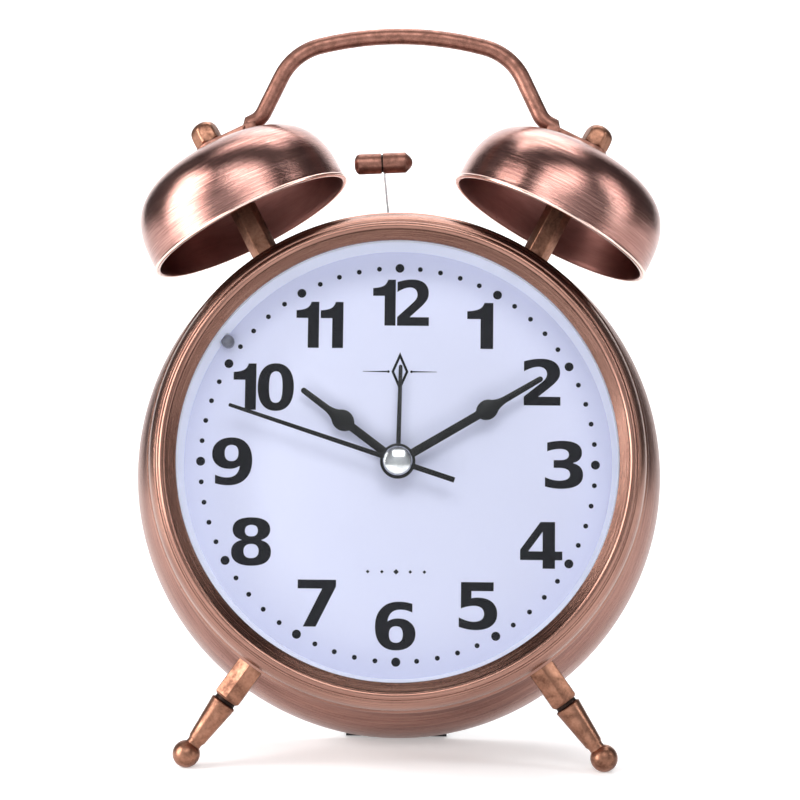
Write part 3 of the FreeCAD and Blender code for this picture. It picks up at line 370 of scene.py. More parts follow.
def arc3(p0, pm, p1, n):
    """n points after p0 on the circle through three points, p1 last."""
    ax, ay = p0
    bx, by = pm
    cx, cy = p1
    d = 2 * (ax * (by - cy) + bx * (cy - ay) + cx * (ay - by))
    if abs(d) < 1e-12:
        return [(ax + (cx - ax) * k / n, ay + (cy - ay) * k / n) for k in range(1, n + 1)]
    ux = ((ax * ax + ay * ay) * (by - cy) + (bx * bx + by * by) * (cy - ay) + (cx * cx + cy * cy) * (ay - by)) / d
    uy = ((ax * ax + ay * ay) * (cx - bx) + (bx * bx + by * by) * (ax - cx) + (cx * cx + cy * cy) * (bx - ax)) / d
    a0, am, a1 = (math.atan2(q - uy, p - ux) for p, q in (p0, pm, p1))
    two = 2 * math.pi
    up = (a1 - a0) % two
    if (am - a0) % two > up:
        up -= two
    r = math.hypot(ax - ux, ay - uy)
    return [(ux + r * math.cos(a0 + up * k / n), uy + r * math.sin(a0 + up * k / n)) for k in range(1, n)] + [p1]


def outline(segs, step=0.5):
    """start point, then ('L', p) or ('A', mid, end) -> list of points."""
    pts = [segs[0]]
    for s in segs[1:]:
        if s[0] == "L":
            pts.append(s[1])
        else:
            a, b = pts[-1], s[2]
            n = max(4, int((math.dist(a, s[1]) + math.dist(s[1], b)) / step))
            pts += arc3(a, s[1], b, n)
    if math.dist(pts[0], pts[-1]) < 1e-7:
        pts.pop()
    return pts


def fillet(pts, r, n=4, limit=25.0, closed=True):
    """rounds every corner that turns by more than limit degrees."""
    res = []
    N = len(pts)
    for i, p in enumerate(pts):
        if not closed and i in (0, N - 1):
            res.append(p)
            continue
        a, b = pts[i - 1], pts[(i + 1) % N]
        v1 = (a[0] - p[0], a[1] - p[1])
        v2 = (b[0] - p[0], b[1] - p[1])
        l1, l2 = math.hypot(*v1), math.hypot(*v2)
        if l1 < 1e-9 or l2 < 1e-9:
            continue
        v1 = (v1[0] / l1, v1[1] / l1)
        v2 = (v2[0] / l2, v2[1] / l2)
        cosang = max(-1, min(1, v1[0] * v2[0] + v1[1] * v2[1]))
        ang = math.acos(cosang)
        if 180 - math.degrees(ang) < limit:
            res.append(p)
            continue
        t = min(r / math.tan(ang / 2), 0.45 * l1, 0.45 * l2)
        q0 = (p[0] + v1[0] * t, p[1] + v1[1] * t)
        q1 = (p[0] + v2[0] * t, p[1] + v2[1] * t)
        for k in range(n + 1):
            u = k / n
            res.append(((1 - u) ** 2 * q0[0] + 2 * u * (1 - u) * p[0] + u * u * q1[0],
                        (1 - u) ** 2 * q0[1] + 2 * u * (1 - u) * p[1] + u * u * q1[1]))
    return res


def finish_bm(bm, name, mats, body, nodes=(), xf=CLOCK, sharp=35.0, loc=None, recalc=True):
    """turns a bmesh drawn in a local frame (mm) into a piece that rides on body."""
    if recalc:
        bmesh.ops.recalc_face_normals(bm, faces=bm.faces)
    lay = bm.verts.layers.float_vector.get("loc") or bm.verts.layers.float_vector.new("loc")
    for v in bm.verts:
        v[lay] = v.co if loc is None else loc @ v.co
    me = bpy.data.meshes.new(name)
    bm.to_mesh(me)
    bm.free()
    me.transform(xf)
    if xf.determinant() < 0:
        me.flip_normals()
    me.shade_smooth()
    me.set_sharp_from_angle(angle=math.radians(sharp))
    for m in (mats if isinstance(mats, (list, tuple)) else [mats]):
        me.materials.append(m)
    o = bpy.data.objects.new(name, me)
    bpy.context.scene.collection.objects.link(o)
    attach(o, body)
    if nodes:
        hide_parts(*nodes)
    return o


def lathe_into(bm, prof, segs, closed=True, mat_of=None, s0=0.0):
    """revolves (r, t) points about local z.  Adds lz = (cos, sin, arc length) and a u/v map."""
    lz = bm.verts.layers.float_vector.get("lz") or bm.verts.layers.float_vector.new("lz")
    uvl = bm.loops.layers.uv.get("UVMap") or bm.loops.layers.uv.new("UVMap")
    n = len(prof)
    s = [s0]
    for i in range(1, n):
        s.append(s[-1] + math.dist(prof[i - 1], prof[i]))
    rings = []
    for i, (r, t) in enumerate(prof):
        if r < 1e-6:
            v = bm.verts.new((0, 0, t))
            v[lz] = (0, 0, s[i])
            rings.append([v])
            continue
        ring = []
        for k in range(segs):
            a = 2 * math.pi * k / segs
            v = bm.verts.new((r * math.cos(a), r * math.sin(a), t))
            v[lz] = (math.cos(a), math.sin(a), s[i])
            ring.append(v)
        rings.append(ring)
    for i in range(n if closed else n - 1):
        A, B = rings[i], rings[(i + 1) % n]
        sa, sb = s[i], s[i + 1] if i + 1 < n else s[i] + math.dist(prof[i], prof[0])
        for k in range(segs):
            k2 = (k + 1) % segs
            if len(A) == 1 and len(B) == 1:
                break
            if len(A) == 1:
                vs, uv = [A[0], B[k2], B[k]], [((k + .5) / segs, sa), ((k + 1) / segs, sb), (k / segs, sb)]
            elif len(B) == 1:
                vs, uv = [A[k], A[k2], B[0]], [(k / segs, sa), ((k + 1) / segs, sa), ((k + .5) / segs, sb)]
            else:
                vs = [A[k], A[k2], B[k2], B[k]]
                uv = [(k / segs, sa), ((k + 1) / segs, sa), ((k + 1) / segs, sb), (k / segs, sb)]
            f = bm.faces.new(vs)
            for l, c in zip(f.loops, uv):
                l[uvl].uv = (c[0], c[1] * 0.01)
            if mat_of:
                f.material_index = mat_of(i)
    return rings


def lathe(name, prof, segs, mats, body, nodes=(), xf=DIAL, closed=True, mat_of=None, sharp=35.0):
    bm = bmesh.new()
    lathe_into(bm, prof, segs, closed, mat_of)
    return finish_bm(bm, name, mats, body, nodes, xf, sharp)


def plate_into(bm, pts, y0, y1, bevel=0.08, seg=2, holes=(), swap=True):
    """a flat plate from an (x, z) outline between two y levels."""
    def face(p, flip):
        vs = [bm.verts.new((x, y0, z)) for x, z in p]
        return vs
    outer = face(pts, False)
    edges = [bm.edges.new((outer[i], outer[(i + 1) % len(outer)])) for i in range(len(outer))]
    for h in holes:
        hv = face(h, True)
        edges += [bm.edges.new((hv[i], hv[(i + 1) % len(hv)])) for i in range(len(hv))]
    r = bmesh.ops.triangle_fill(bm, use_beauty=True, use_dissolve=True, edges=edges, normal=(0, -1, 0))
    faces = [g for g in r["geom"] if isinstance(g, bmesh.types.BMFace)]
    ext = bmesh.ops.extrude_face_region(bm, geom=faces)
    nv = [g for g in ext["geom"] if isinstance(g, bmesh.types.BMVert)]
    bmesh.ops.translate(bm, verts=nv, vec=(0, y1 - y0, 0))
    return faces


def bevel_sharp(bm, width, seg=2, angle=40.0, pick=None):
    bmesh.ops.recalc_face_normals(bm, faces=bm.faces)
    es = [e for e in bm.edges if len(e.link_faces) == 2 and math.degrees(e.calc_face_angle(0)) > angle
          and (pick is None or pick(e))]
    if es:
        bmesh.ops.bevel(bm, geom=es, offset=width, offset_type="OFFSET", segments=seg, profile=0.5, affect="EDGES",
                        clamp_overlap=True)


def prism_into(bm, pts, z0, z1):
    lo = [bm.verts.new((x, y, z0)) for x, y in pts]
    hi = [bm.verts.new((x, y, z1)) for x, y in pts]
    n = len(pts)
    for i in range(n):
        bm.faces.new((lo[i], lo[(i + 1) % n], hi[(i + 1) % n], hi[i]))
    bm.faces.new(lo[::-1])
    bm.faces.new(hi)


def hexagon(af, turn=0.0):
    rc = af / math.sqrt(3)
    return [(rc * math.cos(math.radians(-90 + turn + 60 * k)), rc * math.sin(math.radians(-90 + turn + 60 * k))) for k in range(6)]


def join(a, b):
    """appends bmesh b to a."""
    me = bpy.data.meshes.new("tmp")
    b.to_mesh(me)
    b.free()
    a.from_mesh(me)
    bpy.data.meshes.remove(me)


def catmull(pts, per=6):
    """smooth curve through (r, t) points."""
    P = [(2 * pts[0][0] - pts[1][0], 2 * pts[0][1] - pts[1][1])] + list(pts) + [(2 * pts[-1][0] - pts[-2][0], 2 * pts[-1][1] - pts[-2][1])]
    res = [pts[0]]
    for i in range(1, len(P) - 2):
        p0, p1, p2, p3 = P[i - 1], P[i], P[i + 1], P[i + 2]
        t = [0.0]
        for a, b in ((p0, p1), (p1, p2), (p2, p3)):
            t.append(t[-1] + max(1e-6, math.dist(a, b)) ** 0.5)
        for k in range(1, per + 1):
            u = t[1] + (t[2] - t[1]) * k / per
            L = lambda a, b, ta, tb: ((tb - u) / (tb - ta) * a[0] + (u - ta) / (tb - ta) * b[0],
                                      (tb - u) / (tb - ta) * a[1] + (u - ta) / (tb - ta) * b[1])
            A1, A2, A3 = L(p0, p1, t[0], t[1]), L(p1, p2, t[1], t[2]), L(p2, p3, t[2], t[3])
            B1, B2 = L(A1, A2, t[0], t[2]), L(A2, A3, t[1], t[3])
            res.append(L(B1, B2, t[1], t[2]))
    return res


def give(node, mat):
    """a carried-over CAD node gets a material in place of its own."""
    o = NODES[node]
    for i in range(len(o.material_slots)):
        o.material_slots[i].material = mat
    if not o.material_slots:
        o.data.materials.append(mat)


# ------------------------------------------------------------------ case shell
def case_profile():
    R_DRUM, R_REAR, SHEET = 53.4, 62.4, 0.8

    def flare(off):
        dr, dy = R_REAR - R_DRUM, 24.0
        h, w = dr / 2, dy / 2
        R = (h * h + w * w) / (2 * h)
        a = math.asin(w / R)
        c1, c2 = (R_DRUM + R, 9.0), (R_REAR - R, 33.0)
        r1, r2 = R + off, R - off
        return ((R_DRUM - off, 9.0), (c1[0] - r1 * math.cos(a / 2), c1[1] + r1 * math.sin(a / 2)),
                (c1[0] - r1 * math.cos(a), c1[1] + r1 * math.sin(a)),
                (c2[0] + r2 * math.cos(a / 2), c2[1] - r2 * math.sin(a / 2)), (R_REAR - off, 33.0))
    o, i = flare(0.0), flare(SHEET)
    pts = [(R_DRUM, -11.2), (R_DRUM, -9.0), (R_DRUM, -4.0), (R_DRUM, 2.0), o[0]] + arc3(o[0], o[1], o[2], 16) + arc3(o[2], o[3], o[4], 16)
    pts += [(62.4, 36.1)] + arc3((62.4, 36.1), (62.14, 36.74), (61.5, 37.0), 6)
    pts += [(61.4, 37.0), (61.4, 36.3), (61.6, 35.8), i[4]] + arc3(i[4], i[3], i[2], 16) + arc3(i[2], i[1], i[0], 16) + [(R_DRUM - SHEET, -11.2)]
    return pts


def case_piece():
    """the spun case, with the slot for the hammer's wire cut in its top."""
    prof = case_profile()
    bm = bmesh.new()
    lathe_into(bm, prof, 256)
    bmesh.ops.recalc_face_normals(bm, faces=bm.faces)
    me = bpy.data.meshes.new("case_raw")
    bm.to_mesh(me)
    bm.free()
    me.transform(DIAL)
    o = bpy.data.objects.new("case_shell_spun", me)
    bpy.context.scene.collection.objects.link(o)
    # slot with round ends
    cb = bmesh.new()
    slot = []
    for cx, a0 in ((6.4, -90), (-4.4, 90)):
        for k in range(13):
            a = math.radians(a0 + 15 * k)
            slot.append((cx + 1.6 * math.cos(a), Y_BELL + 1.6 * math.sin(a)))
    prism_into(cb, slot, 46.0, 60.0)
    bmesh.ops.recalc_face_normals(cb, faces=cb.faces)
    cm = bpy.data.meshes.new("slot_cutter")
    cb.to_mesh(cm)
    cb.free()
    cm.transform(CLOCK)
    c = bpy.data.objects.new("slot_cutter", cm)
    bpy.context.scene.collection.objects.link(c)
    md = o.modifiers.new("slot", "BOOLEAN")
    md.operation = "DIFFERENCE"
    md.solver = "EXACT"
    md.object = c
    dg = bpy.context.evaluated_depsgraph_get()
    new = bpy.data.meshes.new_from_object(o.evaluated_get(dg))
    o.modifiers.clear()
    o.data = new
    bpy.data.objects.remove(c)
    bpy.data.meshes.remove(cm)
    new.shade_smooth()
    new.set_sharp_from_angle(angle=math.radians(35))
    new.materials.clear()
    new.materials.append(M["case"])
    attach(o, "clock")
    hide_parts("case_shell")
    return o


case_piece()

# ------------------------------------------------------------------ front
bez = outline([(48.3, -12.4), ("A", (49.15, -13.45), (50.2, -14.75)), ("A", (51.15, -15.35), (51.95, -14.65)),
               ("A", (52.15, -14.3), (52.55, -14.25)), ("A", (53.85, -12.6), (54.35, -10.4)), ("L", (54.75, -10.0)),
               ("A", (54.95, -9.6), (54.6, -9.2)), ("L", (53.5, -9.2)), ("L", (53.5, -11.4)), ("L", (52.3, -11.6)),
               ("L", (50.6, -11.6)), ("L", (48.3, -11.6))], 0.16)
lathe("bezel_rolled", bez, 288, M["bezel"], "clock", ("front_bezel",), sharp=38.0)

lathe("glass_disc", fillet([(0, -11.5), (50.3, -11.5), (50.3, -9.9), (0, -9.9)], 0.25, closed=False), 192, M["glass"], "clock",
      ("front_glass",), closed=False)

lathe("dial_disc", [(3.0, 0.0), (20.0, 0.0), (35.0, 0.0), (50.9, 0.0), (51.0, 0.1), (51.0, 0.4), (50.9, 0.5), (35.0, 0.5), (3.0, 0.5)],
      192, M["dial"], "clock", ("dial_plate",))

# ------------------------------------------------------------------ bells
outer_pts = [(24.1, 0.9), (24.08, 3.5), (23.95, 6.2), (23.55, 8.8), (22.75, 11.3), (21.4, 13.7), (19.4, 15.75), (16.7, 17.4),
             (13.3, 18.6), (9.0, 19.45), (4.5, 19.9), (1.7, 20.0)]


def inward(pts, d):
    res = []
    for k, p in enumerate(pts):
        a, b = pts[max(k - 1, 0)], pts[min(k + 1, len(pts) - 1)]
        tx, ty = b[0] - a[0], b[1] - a[1]
        n = math.hypot(tx, ty)
        res.append((p[0] - d * ty / n, p[1] + d * tx / n))
    return res


def bell_profile():
    o = catmull(outer_pts, 5)
    i = inward(o, 0.9)
    i[0], i[-1] = (23.2, 0.9), (1.7, 19.1)
    lip = [(23.28, 0.06), (23.36, 0.0)]
    rim = [(24.18, 0.0)] + arc3((24.18, 0.0), (24.38, 0.33), (24.2, 0.68), 7) + [(24.12, 0.74)]
    prof = lip + rim + o + i[::-1][:-1] + [(23.2, 0.4)]
    n_rim = len(lip) + len(rim)
    n_out = n_rim + len(o)
    return prof, n_rim, n_out


bprof, n_rim, n_out = bell_profile()


def bell_mat(i):
    return 2 if i < n_rim - 1 else (0 if i < n_out else 1)


for side, nm in ((1, "right"), (-1, "left")):
    lathe("bell_spun_" + nm, bprof, 224, [M["bell"], M["bell_in"], M["rim"]], "clock", ("bell_" + nm,),
          leaned(side * BELL_X, BELL_Z, side * BELL_TILT), mat_of=bell_mat, sharp=42.0)

# ------------------------------------------------------------------ posts, domed nuts
ux, uz = math.sin(math.radians(BELL_TILT)), math.cos(math.radians(BELL_TILT))
s_root = -9.0
for _ in range(40):
    s_root -= math.hypot(BELL_X + s_root * ux, BELL_Z + s_root * uz) - 53.4
POST_TOP = 18.32


def clip_drum(bm, xf_to_clock, r):
    """goes over the points of a post or leg below its middle that lie inside radius r of the drum, and moves none of
    them.
    """
    inv = xf_to_clock
    for v in bm.verts:
        p = inv @ v.co
        if v.co.z < 0 and math.hypot(p.x, p.z) < r:
            pass


for side, nm in ((1, "right"), (-1, "left")):
    bm = bmesh.new()
    prism_into(bm, hexagon(5.5, 30.0), s_root - 0.25, POST_TOP)
    bevel_sharp(bm, 0.22, 3)
    t = bmesh.new()
    # collar at the foot and studs
    lathe_into(t, [(0, s_root - 7), (1.45, s_root - 7), (1.6, s_root - 6.8), (1.6, s_root + 0.2), (0, s_root + 0.2)], 32, False)
    join(bm, t)
    t = bmesh.new()
    thread = [(0, POST_TOP - 0.5), (1.4, POST_TOP - 0.5)]
    for k in range(13):
        thread += [(1.45, POST_TOP + 0.25 * k + 0.3), (1.33, POST_TOP + 0.25 * k + 0.42)]
    thread += [(1.4, 24.8), (1.2, 25.0), (0, 25.0)]
    lathe_into(t, thread, 32, False)
    join(bm, t)
    finish_bm(bm, "post_hex_" + nm, M["turned"], "clock", ("bell_post_" + nm,), leaned(side * BELL_X, BELL_Z, side * BELL_TILT), 30)

    # domed nut: hexagon with rounded corners that runs into a dome
    bm = bmesh.new()
    hexr = 6.0 / 2
    rows = []
    zs = [21.95, 22.05, 22.3, 23.0, 23.8, 24.4] + [24.4 + 2.8 * math.sin(math.radians(a)) for a in (12, 24, 36, 48, 60, 70, 78, 84)] + [27.2]
    for z in zs:
        row = []
        for k in range(96):
            a = 2 * math.pi * k / 96
            q = (a - math.radians(-90 + 22.0 * side) + math.pi / 6) % (math.pi / 3) - math.pi / 6
            q = abs(math.pi / 6 - abs(q))
            flat = hexr / math.cos(q)
            flat = min(flat, 3.36)
            if z <= 22.3:
                flat = min(flat, 3.36 - (22.3 - z) * 0.9)
            dome = math.sqrt(max(0.0, 3.9 ** 2 - (z - 23.3) ** 2))
            k6 = 10.0
            r = (flat ** -k6 + max(dome, 1e-3) ** -k6) ** (-1 / k6)
            row.append(bm.verts.new((r * math.cos(a), r * math.sin(a), z)))
        rows.append(row)
    for A, B in zip(rows, rows[1:]):
        for k in range(96):
            bm.faces.new((A[k], A[(k + 1) % 96], B[(k + 1) % 96], B[k]))
    bm.faces.new(rows[0][::-1])
    bm.faces.new(rows[-1])
    finish_bm(bm, "domed_nut_" + nm, M["turned"], "clock", ("finial_" + nm,), leaned(side * BELL_X, BELL_Z, side * BELL_TILT), 24)

# ------------------------------------------------------------------ carrying handle
ROD_R, HANDLE_TOP, HTR, HCR, SLOPE, LEG_PT, FB = 1.85, 99.3, 75.0, 13.5, 25.0, (29.75, 85.4), 5.0


def handle_path():
    """centre line of the rod for the right half, from the eye to the top, as (x, z) points."""
    t_rod = 20.05 + ROD_R
    ex, ez = BELL_X + t_rod * ux, BELL_Z + t_rod * uz
    lsx, lsz = math.sin(math.radians(SLOPE)), math.cos(math.radians(SLOPE))
    a11, a12, a21, a22 = -uz, lsx, ux, -lsz
    b1, b2 = LEG_PT[0] - ex, LEG_PT[1] - ez
    det = a11 * a22 - a12 * a21
    u = (b1 * a22 - a12 * b2) / det
    Bx, Bz = ex - u * uz, ez + u * ux
    oz = HANDLE_TOP - HTR
    nx, nz = -lsz, -lsx
    ax, az = LEG_PT[0] + nx * HCR, LEG_PT[1] + nz * HCR
    px, pz = ax, az - oz
    bq = -px * lsx + pz * lsz
    cq = px * px + pz * pz - (HTR - HCR) ** 2
    v = -bq + math.sqrt(bq * bq - cq)
    cx, cz = ax - v * lsx, az + v * lsz
    T1 = (cx - nx * HCR, cz - nz * HCR)
    dl = math.hypot(cx, cz - oz)
    T2 = (cx / dl * HTR, oz + (cz - oz) / dl * HTR)
    mx, mz = (T1[0] + T2[0]) / 2 - cx, (T1[1] + T2[1]) / 2 - cz
    ml = math.hypot(mx, mz)
    TM = (cx + mx / ml * HCR, cz + mz / ml * HCR)
    turn = math.acos(max(-1, min(1, uz * lsx + ux * lsz)))
    tl = FB * math.tan(turn / 2)
    E1 = (Bx + uz * tl, Bz - ux * tl)
    E2 = (Bx - lsx * tl, Bz + lsz * tl)
    bis = ((E1[0] + E2[0]) / 2 - Bx, (E1[1] + E2[1]) / 2 - Bz)
    bl = math.hypot(*bis)
    dist = FB / math.cos(turn / 2) - FB
    EM = (Bx + bis[0] / bl * dist, Bz + bis[1] / bl * dist)
    return u, tl, E1, EM, E2, T1, TM, T2


hu, htl, E1, EM, E2, T1, TM, T2 = handle_path()


def handle_piece():
    half = [(E1[0] + uz * 3.0 * k / 4, E1[1] - ux * 3.0 * k / 4) for k in range(4, 0, -1)] + [E1]
    half += arc3(E1, EM, E2, 10)
    half += [(E2[0] + (T1[0] - E2[0]) * k / 6, E2[1] + (T1[1] - E2[1]) * k / 6) for k in range(1, 7)]
    half += arc3(T1, TM, T2, 16)
    n_top = 24
    c = (0.0, HANDLE_TOP - HTR)
    a0 = math.atan2(T2[0], T2[1] - c[1])
    top = [(HTR * math.sin(a0 * (1 - k / n_top)), c[1] + HTR * math.cos(a0 * (1 - k / n_top))) for k in range(1, n_top)]
    line = half + top + [(0.0, HANDLE_TOP)] + [(-x, z) for x, z in reversed(half + top)]
    bm = bmesh.new()
    uvl = bm.loops.layers.uv.new("UVMap")
    n = len(line)
    rings = []
    SEG = 32
    for i, (x, z) in enumerate(line):
        a, b = line[max(i - 1, 0)], line[min(i + 1, n - 1)]
        tx, tz = b[0] - a[0], b[1] - a[1]
        l = math.hypot(tx, tz)
        nx, nz = -tz / l, tx / l
        j = min(i, n - 1 - i)
        # the first points of each end are pressed flat
        w, h, dz = ROD_R, ROD_R, 0.0
        if j <= 2:
            f = 1.0 - j / 2.0
            f = f * f * (3 - 2 * f)
            w = ROD_R + (3.3 - ROD_R) * f
            h = ROD_R - (ROD_R - 0.86) * f
            dz = -(ROD_R - h)
        sgn = 1 if nz > 0 else -1
        ring = []
        for k in range(SEG):
            q = 2 * math.pi * k / SEG
            cq, sq = math.cos(q), math.sin(q)
            off = h * cq + dz * sgn
            ring.append(bm.verts.new((x + nx * off, Y_BELL + w * sq, z + nz * off)))
        rings.append(ring)
    for A, B in zip(rings, rings[1:]):
        for k in range(SEG):
            bm.faces.new((A[k], A[(k + 1) % SEG], B[(k + 1) % SEG], B[k]))
    bm.faces.new(rings[0][::-1])
    bm.faces.new(rings[-1])
    # eyes
    x0 = -(hu - htl) - 0.2
    for side in (1, -1):
        e = bmesh.new()
        pts = []
        for k in range(29):
            a = math.radians(-90 - 22 + (180 + 44) * k / 28)
            pts.append((3.7 * math.cos(a), 3.7 * math.sin(a)))
        # neck down to the rod
        pts += [(-3.2, 3.1), (x0 + 1.4, 2.6), (x0 + 0.2, 2.2), (x0 + 0.2, -2.2), (x0 + 1.4, -2.6), (-3.2, -3.1)]
        hole = [(1.55 * math.cos(2 * math.pi * k / 32), 1.55 * math.sin(2 * math.pi * k / 32)) for k in range(32)]
        ov = [e.verts.new((p[0], p[1], 20.05)) for p in pts]
        hv = [e.verts.new((p[0], p[1], 20.05)) for p in hole]
        ed = [e.edges.new((ov[i], ov[(i + 1) % len(ov)])) for i in range(len(ov))]
        ed += [e.edges.new((hv[i], hv[(i + 1) % len(hv)])) for i in range(len(hv))]
        r = bmesh.ops.triangle_fill(e, use_beauty=True, use_dissolve=False, edges=ed, normal=(0, 0, -1))
        fs = [g for g in r["geom"] if isinstance(g, bmesh.types.BMFace)]
        ex = bmesh.ops.extrude_face_region(e, geom=fs)
        bmesh.ops.translate(e, verts=[g for g in ex["geom"] if isinstance(g, bmesh.types.BMVert)], vec=(0, 0, 1.75))
        bevel_sharp(e, 0.25, 3, 50)
        m = Matrix.Translation((side * BELL_X, Y_BELL, BELL_Z)) @ Matrix.Rotation(math.radians(side * BELL_TILT), 4, 'Y')
        if side < 0:
            m = m @ Matrix.Scale(-1, 4, (1, 0, 0))
        bmesh.ops.transform(e, matrix=m, verts=e.verts)
        join(bm, e)
    return finish_bm(bm, "handle_bent_rod", M["handle"], "clock", ("carry_handle",), CLOCK, 40)


handle_piece()

# ------------------------------------------------------------------ legs
for side, nm in ((1, "right"), (-1, "left")):
    xf = leaned(0, 0, 180 - side * LEG_ANGLE)
    bm = bmesh.new()
    prism_into(bm, hexagon(6.0, 0.0), 53.1, 64.8)
    bevel_sharp(bm, 0.2, 3, pick=lambda e: abs(e.verts[0].co.z - e.verts[1].co.z) > 1)
    # chamfer the outer end: points near the end come in
    bm2 = bmesh.new()
    join(bm2, bm)
    bm = bm2
    for v in bm.verts:
        if v.co.z > 64.7:
            r = math.hypot(v.co.x, v.co.y)
            v.co.x *= (r - 0.42) / r
            v.co.y *= (r - 0.42) / r
    # a ring of points 0.45 below the end keeps the sides straight up to there
    side_e = [e for e in bm.edges if abs(e.verts[0].co.z - e.verts[1].co.z) > 5]
    r_ = bmesh.ops.subdivide_edges(bm, edges=side_e, cuts=1, use_grid_fill=False)
    mids = [g for g in r_["geom_inner"] if isinstance(g, bmesh.types.BMVert)]
    for v in mids:
        lo = min((e.other_vert(v) for e in v.link_edges), key=lambda w: w.co.z)
        v.co = Vector((lo.co.x, lo.co.y, 64.35))
    turned = [(0, 63.9), (2.45, 63.9), (2.45, 65.55), (2.62, 65.72), (2.9, 65.85), (2.98, 66.0), (2.98, 66.2), (2.93, 66.36)]
    turned += [(2.93 - (2.93 - 2.0) * k / 6, 66.36 + (75.7 - 66.36) * k / 6) for k in range(1, 7)]
    turned += [(1.86, 76.0), (1.72, 76.35), (1.68, 76.7), (1.70, 77.0)]
    zc, rb = 79.75, 3.05
    a_start = math.asin(1.70 / rb)
    ball = [(rb * math.sin(a_start + (math.pi - a_start) * k / 26), zc - rb * math.cos(a_start + (math.pi - a_start) * k / 26)) for k in range(0, 26)]
    turned = turned + ball + [(0, zc + rb)]
    t = bmesh.new()
    # the neck between the hex and the collar takes the near-black painted shade
    lathe_into(t, turned, 72, False, lambda i: 1 if 1 <= i < 3 else 0)
    join(bm, t)
    t = bmesh.new()
    lathe_into(t, [(0, 46.6), (1.7, 46.6), (1.9, 46.9), (1.9, 53.6), (0, 53.6)], 32, False)
    join(bm, t)
    finish_bm(bm, "leg_turned_" + nm, [M["turned"], M["groove"]], "clock", ("leg_" + nm,), xf, 28)

# ------------------------------------------------------------------ hammer
HAMMER_ANGLE, HAMMER_LEN, HEAD_R, HEAD_L = -5.87, 39.57, 2.35, 13.3
HAMMER = CLOCK @ Matrix.Translation((0, 0, 30.0)) @ Matrix.Rotation(math.radians(HAMMER_ANGLE), 4, 'Y')
hl = HEAD_L / 2
head_prof = [(0, -hl), (0.85, -hl), (1.15, -hl + 0.06), (1.9, -hl + 0.42), (2.28, -hl + 0.85), (HEAD_R, -hl + 1.2), (HEAD_R, -3.5), (HEAD_R, -0.62),
             (2.3, -0.5), (2.02, -0.46), (2.0, -0.27), (2.02, -0.09), (2.3, -0.05), (HEAD_R, 0.07), (HEAD_R, 3.0), (HEAD_R, hl - 1.75),
             (2.26, hl - 1.5), (1.3, hl - 0.5), (0.6, hl - 0.04), (0, hl)]
bm = bmesh.new()
# the groove round the middle of the head takes the near-black painted shade
lathe_into(bm, head_prof, 64, False, lambda i: 1 if 8 <= i < 11 else 0)
finish_bm(bm, "striker_turned", [M["handle"], M["groove"]], "hammer", ("hammer_head",),
          HAMMER @ Matrix.Translation((0, Y_BELL, HAMMER_LEN)) @ Matrix.Rotation(math.radians(90 - 3.0 - HAMMER_ANGLE), 4, 'Y'), 32)
bm = bmesh.new()
lathe_into(bm, [(0, 3.7), (0.2, 3.7), (0.24, 3.8), (0.24, 12.0), (0.24, 24.0), (0.24, HAMMER_LEN - 1.25), (0.2, HAMMER_LEN - 1.2), (0, HAMMER_LEN - 1.2)], 24, False)
finish_bm(bm, "striker_wire", M["wire"], "hammer", ("hammer_wire",), HAMMER @ Matrix.Translation((0, Y_BELL, 0)), 32)

# ------------------------------------------------------------------ hands
ANG_HOUR, ANG_MIN, ANG_SEC, ANG_ALARM = 306.8, 59.3, 288.0, 1.1


def spade(length, bulb_at, bulb_r, hub_r, stem_w, neck_w, tip_w):
    h = stem_w / 2
    zs = math.sqrt(hub_r ** 2 - h ** 2)
    zb, n = bulb_at, neck_w / 2
    s70, c70 = math.sin(math.radians(70)), math.cos(math.radians(70))
    return [(0.0, -hub_r), ("A", (hub_r * s70, -hub_r * c70), (h, zs)), ("L", (h, zb - bulb_r * 1.15)),
            ("A", (bulb_r * 0.98, zb - bulb_r * 0.15), (bulb_r * 0.62, zb + bulb_r * 0.78)),
            ("A", (n * 1.25, zb + bulb_r * 1.35), (n, zb + bulb_r * 2.1)),
            ("L", (tip_w / 2, length - tip_w / 2)), ("A", (0, length), (-tip_w / 2, length - tip_w / 2)),
            ("L", (-n, zb + bulb_r * 2.1)), ("A", (-n * 1.25, zb + bulb_r * 1.35), (-bulb_r * 0.62, zb + bulb_r * 0.78)),
            ("A", (-bulb_r * 0.98, zb - bulb_r * 0.15), (-h, zb - bulb_r * 1.15)),
            ("L", (-h, zs)), ("A", (-hub_r * s70, -hub_r * c70), (0.0, -hub_r))]


def hand_piece(name, segs, y0, y1, angle, bore, body, node):
    bm = bmesh.new()
    hole = [(bore * math.cos(2 * math.pi * k / 40), bore * math.sin(2 * math.pi * k / 40)) for k in range(40)]
    plate_into(bm, outline(segs, 0.22), y0, y1, holes=[hole])
    bevel_sharp(bm, 0.09, 2, 50)
    xf = CLOCK @ Matrix.Rotation(math.radians(angle), 4, 'Y')
    return finish_bm(bm, name, M["hand"], body, (node,), xf, 40)


